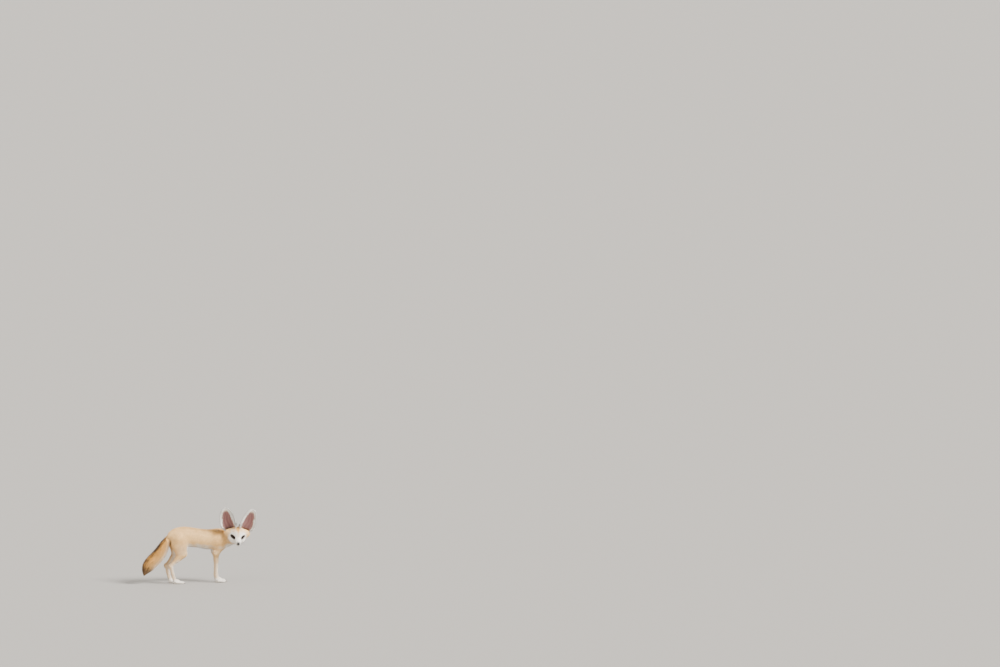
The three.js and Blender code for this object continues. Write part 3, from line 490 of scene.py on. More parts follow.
def surface(field, axes, block=8):
    # quads where the field is zero, with one point to each grid cell that it crosses
    counts = [len(a) for a in axes]
    value = np.full(counts, 1e3)
    starts = [np.arange(0, n - 1, block) for n in counts]
    corner = np.stack(np.meshgrid(*starts, indexing="ij"), -1).reshape(-1, 3)
    last = np.minimum(corner + block, np.array(counts) - 1)
    low = np.stack([axes[i][corner[:, i]] for i in range(3)], 1)
    high = np.stack([axes[i][last[:, i]] for i in range(3)], 1)
    centre, reach = (low + high) / 2, np.linalg.norm(high - low, axis=1) / 2
    d = inChunks(field, centre)
    wanted = np.zeros(counts, bool)
    for (i, j, k), (u, v, w), dist, r in zip(corner, last, d, reach):
        if abs(dist) < r * 1.35 + 4:
            wanted[i : u + 1, j : v + 1, k : w + 1] = True
        elif dist < 0:
            value[i : u + 1, j : v + 1, k : w + 1] = -1e3
    at = np.argwhere(wanted)
    value[wanted] = inChunks(field, np.stack([axes[i][at[:, i]] for i in range(3)], 1))
    inside = value < 0
    corners = [(a, b, c) for a in (0, 1) for b in (0, 1) for c in (0, 1)]
    n = [c - 1 for c in counts]
    total = sum(inside[a : a + n[0], b : b + n[1], c : c + n[2]].astype(int) for a, b, c in corners)
    cells = np.argwhere((total > 0) & (total < 8))
    points, crossings = np.zeros((len(cells), 3)), np.zeros(len(cells))
    for a in corners:
        for b in corners:
            if a >= b or sum(abs(x - y) for x, y in zip(a, b)) != 1:
                continue
            ia, ib = cells + a, cells + b
            va, vb = value[tuple(ia.T)], value[tuple(ib.T)]
            hit = (va < 0) != (vb < 0)
            t = va[hit] / (va[hit] - vb[hit])
            pa = np.stack([axes[i][ia[hit, i]] for i in range(3)], 1)
            pb = np.stack([axes[i][ib[hit, i]] for i in range(3)], 1)
            points[hit] += pa + (pb - pa) * t[:, None]
            crossings[hit] += 1
    points /= crossings[:, None]
    number = np.full(n, -1)
    number[tuple(cells.T)] = np.arange(len(cells))
    around = [
        [(0, 0, 0), (0, -1, 0), (0, -1, -1), (0, 0, -1)],
        [(0, 0, 0), (0, 0, -1), (-1, 0, -1), (-1, 0, 0)],
        [(0, 0, 0), (-1, 0, 0), (-1, -1, 0), (0, -1, 0)],
    ]
    quads = []
    for axis in range(3):
        ahead = np.roll(inside, -1, axis)
        edge = inside != ahead
        edge[tuple(slice(-1, None) if i == axis else slice(None) for i in range(3))] = False
        for i in range(3):
            if i != axis:
                edge[tuple(slice(0, 1) if j == i else slice(None) for j in range(3))] = False
                edge[tuple(slice(-1, None) if j == i else slice(None) for j in range(3))] = False
        at = np.argwhere(edge)
        quad = np.stack([number[tuple((at + np.array(o)).T)] for o in around[axis]], 1)
        out = inside[tuple(at.T)]
        quad[~out] = quad[~out][:, ::-1]
        quads.append(quad)
    quads = np.concatenate(quads)
    for _ in range(2):
        grad = inChunks(lambda x: slope(field, x), points)
        d = inChunks(field, points)
        steep = np.maximum((grad * grad).sum(1), 0.3)
        points -= grad * np.clip(d / steep, -0.6, 0.6)[:, None]
    return points, quads


def spaced(low, high, fine, coarse, fineFrom, fineTo):
    # grid lines from low to high, close together between fineFrom and fineTo
    parts = []
    for a, b, size in ((low, fineFrom, coarse), (fineFrom, fineTo, fine), (fineTo, high, coarse)):
        if b > a:
            parts.append(np.linspace(a, b, max(int(math.ceil((b - a) / size)), 1) + 1)[:-1])
    return np.append(np.concatenate(parts), high)


skinSet = {
    "cells": (1.05, 2.3),  # over the head, and elsewhere
    "spans": ((-228, 204, 94, 200), (-122, 52, -120, -24), (-4, 228, 146, 224)),  # all, and the head's part
}
skinAxes = [spaced(a, b, *skinSet["cells"], c, d) for a, b, c, d in skinSet["spans"]]
skinPoints, skinQuads = surface(skinField, skinAxes)
skinPoints[:, 2] = np.maximum(skinPoints[:, 2], 0.15)  # soles rest flat
print("skin", len(skinPoints), "points", len(skinQuads), "quads")


def vertexNormals(points, faces):
    a, b, c, d = (points[faces[:, i]] for i in (0, 1, 2, -1))
    flat = np.cross(c - a, d - b) if faces.shape[1] == 4 else np.cross(b - a, c - a)
    out = np.zeros_like(points)
    for i in range(faces.shape[1]):
        np.add.at(out, faces[:, i], flat)
    return unit(out)


skinNormals = vertexNormals(skinPoints, skinQuads)


def wrapped(rows, sides):
    # the quads of a tube: their four corners, for so many rows with so many points each
    i, j = grid(np.arange(rows - 1), np.arange(sides))
    k = (j + 1) % sides
    return i * sides + j, i * sides + k, (i + 1) * sides + k, (i + 1) * sides + j


def joined(parts):
    # one set of points and faces from many
    starts = np.cumsum([0] + [len(part[0]) for part in parts])
    faces = np.concatenate([part[1] + start for part, start in zip(parts, starts)])
    return np.concatenate([part[0] for part in parts]), faces


def makePiece(name, points, faces, material, colours=None, normals=None, uv=None):
    # points in millimetres; colours gives an attribute's name and four numbers for each point
    mesh = bpy.data.meshes.new(name)
    n, sides = faces.shape
    mesh.vertices.add(len(points))
    mesh.vertices.foreach_set("co", toFrame(points).astype(np.float32).ravel())
    mesh.loops.add(n * sides)
    mesh.loops.foreach_set("vertex_index", faces.astype(np.int32).ravel())
    mesh.polygons.add(n)
    mesh.polygons.foreach_set("loop_start", np.arange(0, n * sides, sides, dtype=np.int32))
    mesh.update(calc_edges=True)
    mesh.polygons.foreach_set("use_smooth", np.ones(n, bool))
    for key, values in (colours or {}).items():
        attribute = mesh.attributes.new(key, "FLOAT_COLOR", "POINT")
        attribute.data.foreach_set("color", np.asarray(values, np.float32).ravel())
    if uv is not None:
        layer = mesh.uv_layers.new(name="OFBake")
        layer.uv.foreach_set("vector", uv[faces.ravel()].astype(np.float32).ravel())
    if normals is not None:
        attribute = mesh.attributes.new("custom_normal", "FLOAT_VECTOR", "CORNER")
        attribute.data.foreach_set("vector", normals.astype(np.float32).ravel())
    if material:
        mesh.materials.append(material)
    piece = bpy.data.objects.new(name, mesh)
    bpy.context.scene.collection.objects.link(piece)
    return piece


def srgb(text):
    c = np.array([int(text[i : i + 2], 16) / 255 for i in (1, 3, 5)])
    linear = np.where(c <= 0.04045, c / 12.92, ((c + 0.055) / 1.055) ** 2.4)
    return (*linear.tolist(), 1.0)


# colours of the living fox in daylight
colours = {
    "cream": "#f5c683",
    "ochre": "#c8841c",
    "pale": "#fffaf0",
    "dark": "#2b1f18",
    "pink": "#73424e",
    "floor": "#9b968f",
    "sky": "#f2f1ef",
    "eye": "#120a07",
    "iris": "#2a160b",
    "nose": "#0b0909",
    "claw": "#4a3c33",
    "clawPale": "#8a7763",
}


def newMaterial(name):
    material = bpy.data.materials.new(name)
    material.use_nodes = True
    tree = material.node_tree
    tree.nodes.clear()
    out = tree.nodes.new("ShaderNodeOutputMaterial")
    shader = tree.nodes.new("ShaderNodeBsdfPrincipled")
    tree.links.new(shader.outputs[0], out.inputs[0])
    return material, tree, shader


def fill(tree, shader, inputs):
    # inputs by number or name: a socket to link, or a value
    for key, value in inputs.items():
        if isinstance(value, bpy.types.NodeSocket):
            tree.links.new(value, shader.inputs[key])
        else:
            shader.inputs[key].default_value = value


def node(tree, kind, inputs=None, **settings):
    n = tree.nodes.new("ShaderNode" + kind)
    for key, value in settings.items():
        setattr(n, key, value)
    fill(tree, n, inputs or {})
    return n


def mixed(tree, factor, a, b, how="MIX"):
    n = node(tree, "Mix", {0: factor, 6: a, 7: b}, data_type="RGBA", blend_type=how)
    return n.outputs[2]


def math1(tree, how, a, b=0.0):
    return node(tree, "Math", {0: a, 1: b}, operation=how).outputs[0]


# hair and skin share their colours: a point's marks say how much ochre, white, dark and pink there is
coatLook = {
    "mottle": (90.0, 0.12),  # uneven ochre: scale and strength
    "strands": (0.78, 1.12),  # how light the darkest and the palest hair are
    # painted shade: each hair is darkened towards its root, where the coat is deep, and is a little lighter
    # at its tip
    "rootShadeToTip": (0.74, 1.04),  # and each hair at its root and at its tip
    "bumps": (1400.0, 0.35),  # on the skin: scale and strength
    "surface": {
        "Roughness": 0.72,
        "Specular IOR Level": 0.25,
        "Sheen Weight": 0.25,
        "Sheen Roughness": 0.5,
    },
}


def ranged(tree, value, low, high, to):
    return node(tree, "MapRange", {0: value, 1: low, 2: high, 3: to[0], 4: to[1]}).outputs[0]


def coatMaterial(name, hair):
    s = coatLook
    material, tree, shader = newMaterial(name)
    marks = node(tree, "Attribute", attribute_name="marks")
    split = node(tree, "SeparateColor", {0: marks.outputs[0]})
    strand = node(tree, "SeparateColor", {0: node(tree, "Attribute", attribute_name="strand").outputs[0]})
    place = node(tree, "TexCoord").outputs["Object"]
    scale, strength = s["mottle"]
    mottle = node(tree, "TexNoise", {"Vector": place, "Scale": scale, "Detail": 3.0})
    uneven = ranged(tree, mottle.outputs[0], 0.3, 0.7, (-strength, strength))
    ochre = math1(tree, "ADD", split.outputs[0], uneven)
    base = mixed(tree, ochre, srgb(colours["cream"]), srgb(colours["ochre"]))
    base = mixed(tree, split.outputs[1], base, srgb(colours["pale"]))
    base = mixed(tree, marks.outputs["Alpha"], base, srgb(colours["pink"]))
    base = mixed(tree, split.outputs[2], base, srgb(colours["dark"]))
    if hair:
        shade = ranged(tree, strand.outputs[1], 0.0, 1.0, s["strands"])
        # painted shade deep in the coat: darker at each hair's root, a little lighter at its tip
        depth = ranged(tree, strand.outputs[0], 0.0, 0.7, s["rootShadeToTip"])
        light = math1(tree, "MULTIPLY", shade, depth)
        grey = node(tree, "CombineColor", {0: light, 1: light, 2: light}).outputs[0]
        base = mixed(tree, 1.0, base, grey, "MULTIPLY")
    else:
        scale, strength = s["bumps"]
        fine = node(tree, "TexNoise", {"Vector": place, "Scale": scale, "Detail": 2.0})
        bump = node(tree, "Bump", {"Height": fine.outputs[0], "Strength": strength, "Distance": 0.0005})
        fill(tree, shader, {"Normal": bump.outputs[0]})
    fill(tree, shader, {"Base Color": base} | s["surface"])
    return material


skinMaterial = coatMaterial("short_fur_and_skin", False)
hairMaterial = coatMaterial("hair_of_the_coat", True)


# where on the tail a point is: how far along it, and the angle round it from its upper side
tailRows = np.array(tailSet["path"], float)
tailSteps = np.append(0, np.cumsum(np.hypot(*np.diff(tailRows[:, :2], axis=0).T)))
tailTable = np.column_stack([tailSteps, tailRows])
tailEnd = tailSteps[-1]


def tailFrame(u):
    near = np.minimum(u, tailEnd)

    def lineAt(u):
        return np.stack([smoothTable(tailTable, u, 1), 0 * u, smoothTable(tailTable, u, 2)], 1)

    along = unit(lineAt(near) - lineAt(near - 1))
    return lineAt(near) + along * (u - near)[:, None], along, np.cross((0, 1, 0), along)


tailGrid = np.linspace(2, tailEnd, 160)
tailGridPlaces = tailFrame(tailGrid)[0]


def onTail(p):
    u = np.zeros(len(p))
    for i in range(0, len(p), 50000):
        part = p[i : i + 50000]
        u[i : i + 50000] = tailGrid[np.argmin(((part[:, None] - tailGridPlaces) ** 2).sum(2), axis=1)]
    place, _, upper = tailFrame(u)
    out = p - place
    return u, np.arctan2(out[:, 1], (out * upper).sum(1))


def wave(p, scale, seed=0):
    # a soft uneven number from about -1 to 1, the same at the same place
    total = np.zeros(len(p))
    draw = np.random.default_rng(900 + seed)
    for k in range(5):
        way = draw.normal(size=3)
        total += np.sin(p @ unit(way) * (1 + 0.5 * k) * 2 * math.pi / scale + draw.uniform(0, 6))
    return total / 2.6


tearLine = [(5.5, 0, -3.4), (13, 0, -7.2), (21, 0, -10.8), (28, 0, -13.2)]


markSet = {
    "ground": 0.06,  # ochre all over the body
    "back": 0.34,  # and more of it in places
    "thigh": (-78, 150, 34, 40, 0.26),  # middle, reach ahead and up, and ochre
    "shoulder": (84, 165, 28, 42, 0.22),
    "nape": 0.25,
    "belly": 0.16,  # pink skin
    "face": (0.1, 0.92),  # ochre and white
    "crown": (0.26, 0.72),  # ochre here, and how much white goes
    "bridge": (4.5, 0.3, 0.5),  # stripe down the forehead: width, ochre, and how much white goes
    "eyePatch": (13.6, 6.9),  # dark almond: half its width and height
    "tear": 2.1,  # width of the dark line from the eye to the nose
    "lip": (0.8, 0.75),  # width and darkness
    "pads": 0.3,  # darkness where the whiskers stand
    "tailLine": (0.62, 0.96, 0.9),  # how far round it starts and is full, and darkness
    "tailTip": (122, 166, 0.88),  # places along the tail, and darkness
}


def marksAt(p):
    # ochre, white, dark and pink at places on the skin
    s = markSet
    x, y, z = p.T

    def spot(atX, atZ, wide, tall, amount):
        return amount * np.exp(-(((x - atX) / wide) ** 2 + ((z - atZ) / tall) ** 2))

    m = leftHalf(toHead(p))
    a, b, c, v = eyeLocal(m)
    onHead = 1 - step(1, 9, headNear(p, 1e3) + 2)
    _, top, bottom, _ = trunkAt(x)
    level = (z - (top + bottom) / 2) / ((top - bottom) / 2)
    soft = 0.12 * wave(p, 60, 1)
    ochre = s["ground"] + s["back"] * step(0.55, 1.0, level + soft)
    ochre += spot(*s["thigh"]) * step(6, 20, np.abs(y)) + spot(*s["shoulder"])
    ochre += s["nape"] * step(96, 112, x) * step(150, 185, z)
    pale = step(-0.25, -1.0, level + soft) * step(-105, -80, x) * step(110, 126, z)
    pale *= 1 - 0.85 * step(20, 30, np.abs(y)) * step(-36, -50, x)
    pale *= 1 - 0.85 * step(12, 22, np.abs(y)) * step(40, 54, x) * step(146, 138, z)
    shin = step(116, 66, z + 8 * wave(p, 40, 2))
    moved = np.where(x < 0, strideAt("hind", 1, z), strideAt("fore", 1, z)) * (y > 0)
    # the shins' pale is the coat's own; the further white towards each leg's front edge is painted light on
    # its lit side
    ahead = step(-9, 9, x - moved - legMiddle(x, z))
    pale = np.maximum(pale, shin * (0.2 + 0.5 * ahead))
    pale = np.maximum(pale, step(36, 12, z) * 0.85)
    pale = np.maximum(pale, 0.75 * step(150, 118, z) * step(20, 8, np.abs(y)))
    pale = np.maximum(pale, 0.7 * step(88, 106, x) * step(160, 138, z) * step(18, 10, np.abs(y)))
    pink = s["belly"] * step(-0.6, -1.0, level) * step(-60, -30, x) * step(60, 20, x)
    # head
    crown = step(2, 24, m[:, 2]) * step(34, 12, m[:, 1]) * step(16, -4, m[:, 0])
    wide, more, less = s["bridge"]
    bridge = bell(m[:, 1], wide) * step(34, 8, m[:, 0]) * step(-14, -4, m[:, 2])
    headOchre = s["face"][0] + s["crown"][0] * crown + more * bridge + 0.1 * step(-20, -44, m[:, 0])
    headPale = s["face"][1] - s["crown"][1] * crown - less * bridge
    headPale -= 0.7 * step(-6, -28, m[:, 0] + 0.25 * m[:, 2])
    # painted shade: the sides of the head behind the cheeks lose their white, as on a cheek turned from the
    # light, on both sides
    headPale -= 0.75 * step(22, 35, m[:, 1] + 0.3 * m[:, 2] + 2 * wave(p, 30, 4))
    around = np.linalg.norm(v, axis=1)
    headPale = np.maximum(headPale, 0.95 * bell(around, 5, 12) * step(-3, 3, c))
    ochre += onHead * (headOchre - ochre)
    pale += onHead * (np.clip(headPale, 0, 1) - pale)
    wide, tall = s["eyePatch"]
    patch = np.hypot((a + 1.9) / wide, (b + 0.2) / tall) + 0.05 * wave(p, 4, 8)
    rim = step(1.12, 0.9, patch) * step(-4, -1, c) * (around < 22)
    tear = bell(lineDistance(m * (1, 0, 1), tearLine), s["tear"])
    tear *= step(31, 14, m[:, 0]) * step(3.5, 5.5, m[:, 1]) * step(-2, 4, m[:, 0])
    lip = s["lip"][1] * bell(lineDistance(m, mouthLine), s["lip"][0])
    besideNose = step(7.2, 5.4, np.linalg.norm(m - (noseTip[0] - 3, 0, noseTip[2]), axis=1))
    pads = s["pads"] * bell(m[:, 0], 6, 31) * bell(m[:, 2], 3.4, -15) * step(2.5, 5, m[:, 1])
    dark = onHead * np.max([rim, tear, lip, besideNose, pads], axis=0)
    # tail
    back = (x < -112) & (z > 30)
    if back.any():
        u, turn = onTail(p[back])
        tailMarks = tailMarksAt(u, turn, p[back])
        share = step(-112, -128, x[back]) * np.where(z[back] > 92, 1, step(-133, -138, x[back]))
        for column, own in zip((ochre, pale, dark, pink), tailMarks.T):
            column[back] += share * (own - column[back])
    return np.clip(np.stack([ochre, pale, dark, pink], 1), 0, 1)


def legMiddle(x, z):
    # the middle of a hind or a fore leg at a height
    hock, ball, wrist = (-116, 71), (-101, 12), 68
    hind = np.where(z > hock[1], hock[0] + (z - hock[1]) * 1.02, ball[0] - (z - ball[1]) * 0.25)
    return np.where(x < 0, hind, wrist)


def tailMarksAt(u, turn, p):
    upper = np.cos(turn)
    uneven = 0.18 * wave(p, 22, 3)
    low, high, darkness = markSet["tailLine"]
    line = step(low, high, upper + uneven) * step(2, 14, u) * (darkness - 0.15 * step(60, 130, u))
    low, high, darkness = markSet["tailTip"]
    tip = darkness * step(low, high, u + 30 * uneven)
    ochre = 0.6 + 0.3 * upper
    pale = 0.35 * step(-0.1, -0.9, upper) * step(170, 120, u)
    return np.stack([ochre, pale, np.clip(np.maximum(line, tip), 0, 1), 0 * u], 1)


skinMarks = marksAt(skinPoints)
print("markings on the skin")

# ears: a thin cupped shell, drawn on the fox's left and mirrored. s runs up it from 0 to 1, t across it
# from -1 to 1. Stations give s, width as a share, how far round the cup goes in degrees, and its depth.
earSet = {
    "base": (-20, 32, 12),
    "tip": (-42, 50.5, 101),
    "width": 59,
    "turn": 6,
    "splay": {1: 0, -1: 4},
    "wall": 0.75,  # half of the wall's thickness
    "ahead": 9,
    "bow": 7,  # how far the wall bows back at half height
    "tuck": (0.18, 14),  # up to this share of the height, the wall is set back by up to this much
    "inward": (0.42, 8),  # and here it is drawn towards the crown
    "ridges": ((0.22, 0.07, 0.9), (-0.3, 0.08, 0.7)),  # folds in the cup: place across, width and height
    "stations": [
        (0, 0.76, 130, 0.62),
        (0.09, 0.85, 122, 0.62),
        (0.2, 0.96, 108, 0.6),
        (0.38, 1, 92, 0.56),
        (0.6, 0.91, 80, 0.5),
        (0.8, 0.72, 70, 0.46),
        (0.92, 0.49, 60, 0.44),
        (0.975, 0.29, 54, 0.42),
        (1, 0.09, 50, 0.42),
    ],
}


def earFrame(side):
    base = np.array(earSet["base"], float)
    tip = np.array(earSet["tip"], float) + (0, earSet["splay"][side], 0)
    along = unit(tip - base)
    swing = math.radians(earSet["turn"])
    left = unit(np.cross(along, (math.cos(swing), math.sin(swing), 0)))
    return base, along, left, np.cross(left, along), np.linalg.norm(tip - base)


def earWall(s, t, side):
    base, along, left, ahead, reach = earFrame(side)
    rows = earSet["stations"]
    inside = np.clip(s, 0, 1)
    half = smoothTable(rows, inside, 1) * earSet["width"] / 2
    edge = np.radians(smoothTable(rows, inside, 2))
    angle = t * edge
    around = half / np.sin(np.minimum(edge, math.pi / 2))
    back = smoothTable(rows, inside, 3) * around * (np.cos(angle) - np.cos(edge))
    bow = earSet["bow"] * np.sin(math.pi * inside) ** 2 - 3
    tuck = earSet["tuck"][1] * step(earSet["tuck"][0], 0, inside)
    inward = earSet["inward"][1] * np.maximum(1 - inside / earSet["inward"][0], 0) ** 2
    p = base + (s * reach)[:, None] * along + (around * np.sin(angle) - inward)[:, None] * left
    return p + (earSet["ahead"] - back - bow - tuck)[:, None] * ahead


def earNormal(s, t, side):
    h = 1e-3
    up = earWall(np.minimum(s + h, 1), t, side) - earWall(s - h, t, side)
    across = earWall(s, np.minimum(t + h, 1), side) - earWall(s, np.maximum(t - h, -1), side)
    return unit(np.cross(across, up)), unit(up), unit(across)


def fromEar(q, side):
    return fromHead(q * (1, side, 1))


def earMarks(s, t, inner):
    middle = np.abs(t - 0.06)
    wide = 0.78 - 0.12 * step(0.35, 0.1, s) - 0.25 * step(0.7, 0.95, s)
    bare = inner * step(wide + 0.06, wide - 0.42, middle) * step(0.975, 0.8, s)
    bare *= 0.95 + 0.05 * np.sin(23 * t + 5 * s + 2 * np.sin(9 * s)) + 0.04 * np.sin(47 * t - 3 * s)
    ochre = np.where(inner > 0, 0.05, 0.4 * step(1.0, 0.6, np.abs(t)) + 0.1)
    pale = np.where(inner > 0, 1 - 0.9 * bare, 0.15 + 0.8 * step(0.75, 0.95, np.abs(t)))
    pale = np.maximum(pale, step(0.93, 0.985, s))
    # painted shade in the ear's hollow: the cup's middle is darkened, most of all at its base where it opens
    # into the head
    deep = inner * (0.04 + 0.45 * step(0.4, 0.02, s) + 0.18 * step(0.8, 0.3, s))
    deep = deep * step(wide - 0.05, wide - 0.5, middle)
    return np.clip(np.stack([ochre, pale, deep, 0.95 * bare], 1), 0, 1)


def makeEarSkin(side):
    rows, columns = 90, 56  # of quads, up and across
    s = -0.06 + 1.06 * (np.arange(rows + 1) / rows) ** 0.95
    t = np.sin(np.linspace(-math.pi / 2, math.pi / 2, columns + 1))
    s, t = grid(s, np.append(t, t[::-1]))
    inner = np.tile(np.append(np.ones(columns + 1), np.zeros(columns + 1)), rows + 1)
    normal = earNormal(np.clip(s, 0.001, 1), t, side)[0]
    half = earSet["wall"] * (1 - 0.6 * np.abs(t) ** 6) * (1 - 0.45 * step(0.9, 1, s))
    ridge = sum(tall * bell(t, wide, at) for at, wide, tall in earSet["ridges"])
    ridge = ridge * step(0.02, 0.2, s) * step(0.8, 0.45, s)
    p = earWall(s, t, side) + normal * np.where(inner > 0, half + ridge, -half)[:, None]
    width = 2 * (columns + 1)  # once across the cup, and back over its outer face
    faces = np.stack(wrapped(rows + 1, width), 1)
    top = rows * width + np.arange(columns)
    mate = rows * width + width - 1 - np.arange(columns)
    faces = np.concatenate([faces, np.stack([top, mate, mate - 1, top + 1], 1)[:, ::-1]])
    if side < 0:
        faces = faces[:, ::-1]
    return fromEar(p, side), faces, earMarks(s, t, inner)


parts = [(skinPoints, skinQuads, skinMarks)] + [makeEarSkin(side) for side in (1, -1)]
allMarks = np.concatenate([part[2] for part in parts])
skin = makePiece("skin", *joined(parts), skinMaterial, {"marks": allMarks})
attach(skin, "root")
flesh = ("head", "neck", "torso", "tail", "ear_left", "ear_right")
legs = ("fore_leg_left", "fore_leg_right", "hind_leg_left", "hind_leg_right")
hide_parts(*flesh, *legs)
print("skin made")


# eyes: a ball with a clearer bulge over the iris
def glossy(name, colour, roughness, coat=0.0):
    material, tree, shader = newMaterial(name)
    fill(tree, shader, {"Base Color": srgb(colours[colour]), "Roughness": roughness})
    fill(tree, shader, {"Coat Weight": coat, "Coat Roughness": 0.03})
    return material, tree, shader


def eyeMaterial():
    material, tree, shader = glossy("eye", "eye", 0.1, 0.12)
    ring = node(tree, "SeparateColor", {0: node(tree, "Attribute", attribute_name="iris").outputs[0]})
    ramp = node(tree, "ValToRGB", {0: ring.outputs[0]})
    stops = ((0.0, "eye"), (0.42, "eye"), (0.5, "iris"), (0.72, "iris"), (0.86, "eye"))
    while len(ramp.color_ramp.elements) < len(stops):
        ramp.color_ramp.elements.new(1.0)
    for element, (at, colour) in zip(ramp.color_ramp.elements, stops):
        element.position, element.color = at, srgb(colours[colour])
    fill(tree, shader, {"Base Color": ramp.outputs[0], "Specular IOR Level": 0.14})
    return material


def makeEye(name, side, material):
    rings, sides = 40, 64  # of points
    polar, turn = grid(np.linspace(0.02, math.pi - 0.02, rings), np.arange(sides) / sides * 2 * math.pi)
    way = np.array(facing) * (1, side, 1)
    right = unit(np.cross((0, 0, 1), way))
    up = np.cross(way, right)
    bulge = eyeSet["radius"] - 0.15 + 0.3 * step(0.75, 0.2, polar)  # the cornea stands out a little
    outward = np.cos(turn)[:, None] * right + np.sin(turn)[:, None] * up
    ball = np.sin(polar)[:, None] * outward + np.cos(polar)[:, None] * way
    q = ball * bulge[:, None] + (0, side * eyeSet["spacing"] / 2, 0)
    faces = np.stack(wrapped(rings, sides), 1)[:, [0, 3, 2, 1]]
    caps = []
    for ring, flip in ((0, 1), (rings - 1, -1)):
        loop = ring * sides + np.arange(sides)
        for c in range(0, sides - 2, 2):
            caps.append([loop[0], loop[c + 1], loop[c + 2], loop[(c + 3) % sides]][::flip])
    faces = np.concatenate([faces, np.array(caps)])
    iris = np.clip(polar / 0.95, 0, 1)
    marks = np.stack([iris, iris, iris, 1 + 0 * iris], 1)
    piece = makePiece(name, fromHead(q), faces, material, {"iris": marks})
    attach(piece, "root")
    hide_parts("eye_left" if side > 0 else "eye_right")


eyeGloss = eyeMaterial()
makeEye("eyeball_left", 1, eyeGloss)
makeEye("eyeball_right", -1, eyeGloss)


# nose pad with its two comma-shaped nostrils and the groove between them, placed from the nose's tip
noseSet = {
    "pad": ((-3, 0, 0), (5.0, 4.8, 3.9)),
    "wing": ((-1.8, 2.2, 0.2), (3.4, 2.4, 3.2)),
    "nostril": ((1.6, 1.9, -0.5), (-0.4, 4.6, -0.9), 1.0, 0.55),
    "groove": (0.35, 0.45),  # width and depth
    "pebble": (9, 0.05),  # how close and how high
    "cell": 0.28,
}


def noseField(q):
    s = noseSet
    m = leftHalf(q)
    (pad, padRadii), (wing, wingRadii), (a, b, ra, rb) = s["pad"], s["wing"], s["nostril"]
    d = ellipsoid(m, np.add(noseTip, pad), padRadii)
    d = join(d, ellipsoid(m, np.add(noseTip, wing), wingRadii), 1.0)
    d = -join(-d, limb(m, np.add(noseTip, a), np.add(noseTip, b), ra, rb), 0.7)
    wide, deep = s["groove"]
    groove = deep * bell(m[:, 1], wide) * step(noseTip[2] + 1.5, noseTip[2] - 0.5, m[:, 2])
    close, high = s["pebble"]
    pebble = np.sin(m[:, 0] * close) * np.sin(q[:, 1] * close + m[:, 0] * 3) * np.sin(m[:, 2] * close)
    return d + groove + high * pebble


def makeNose():
    x, z = noseTip[0], noseTip[2]
    spans = ((x - 9, x + 3.2), (-6, 6.1), (z - 5.5, z + 5.5))
    axes = [np.arange(low, high, noseSet["cell"]) for low, high in spans]
    points, quads = surface(noseField, axes)
    material, tree, shader = glossy("wet_nose_leather", "nose", 0.42)
    place = node(tree, "TexCoord").outputs["Object"]
    cells = node(tree, "TexVoronoi", {"Vector": place, "Scale": 1800.0})
    bump = node(tree, "Bump", {"Height": cells.outputs[0], "Strength": 0.5, "Distance": 0.0003})
    fill(tree, shader, {"Normal": bump.outputs[0]})
    piece = makePiece("nose_pad", fromHead(points), quads, material)
    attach(piece, "root")
    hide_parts("nose")


makeNose()
print("eyes and nose made")

# the coat: thin closed blades with three sides and a pointed tip, that rise from the skin and lie along it
coatSet = {
    "sink": 0.5,  # root under the skin, in millimetres
    "thick": 0.45,  # thickness as a share of width
    "softNormals": 0.65,
    "swirl": (0.12, 0.06),  # how far tufts turn from the way the hair lies, together and alone
    "curl": 0.18,
    "patch": 0.003,  # size of a blade on its texture map
    "mostInPiece": 17000,
    "lowest": 0.2,  # nothing hangs under this height over the floor
}
chance = np.random.default_rng(2027)  # the order of its draws fixes every hair


def bladeMesh(lines, sides, widths, normals, marks, shade, uv):
    # lines: (n, rings + 1, 3) points from root to tip; sides, normals: (n, 3)
    n, count = lines.shape[0], lines.shape[1]
    rings = count - 1
    s = np.linspace(0, 1, count)
    taper = np.where(s < 0.4, 0.75 + 0.25 * s / 0.4, 1 - ((s - 0.4) / 0.6) ** 1.5)[:rings]
    half = (widths[:, None] * taper * 0.5)[..., None]
    corners = [(-1.0, -0.3), (1.0, -0.3), (0.0, 0.9)]
    thick = coatSet["thick"]
    ring = [lines[:, :rings] + half * (a * sides + b * thick * normals)[:, None] for a, b in corners]
    points = np.concatenate([np.stack(ring, 2).reshape(n, rings * 3, 3), lines[:, -1:]], 1)
    each = rings * 3 + 1
    faces = [(0, 2, 1)]
    for r in range(rings - 1):
        for i in range(3):
            a, b = r * 3 + i, r * 3 + (i + 1) % 3
            faces += [(a, b, b + 3), (a, b + 3, a + 3)]
    last = (rings - 1) * 3
    faces += [(last + i, last + (i + 1) % 3, each - 1) for i in range(3)]
    own = np.array(faces)
    under = (own % 3 < 2).all(1) | np.array([set(f) <= {last, last + 1, each - 1} for f in faces])
    faces = (own[None] + np.arange(n)[:, None, None] * each).reshape(-1, 3)
    along = np.append(np.repeat(s[:rings], 3), 1.0)
    across = np.append(np.tile([-1.0, 1.0, 0.0], rings), 0.0)
    strand = np.ones((n, each, 4))
    strand[..., 0] = along
    strand[..., 1] = shade[:, None]
    patch = np.stack([across * 0.4, along - 0.5], 1) * coatSet["patch"]
    flat = unit(normals)
    axis = np.append(np.tile([-0.75, 0.75, 0.0], rings), 0.0)[None, :, None] * sides[:, None]
    soft = unit(flat[:, None] + (1 - coatSet["softNormals"]) * 2 * axis)[:, own]
    soft[:, under] = -flat[:, None, None]
    colour = np.repeat(marks[:, None], each, 1)
    return (
        points.reshape(-1, 3),
        faces,
        {"marks": colour.reshape(-1, 4), "strand": strand.reshape(-1, 4)},
        soft.reshape(-1, 3),
        (uv[:, None] + patch).reshape(-1, 2),
    )


coatCount = []


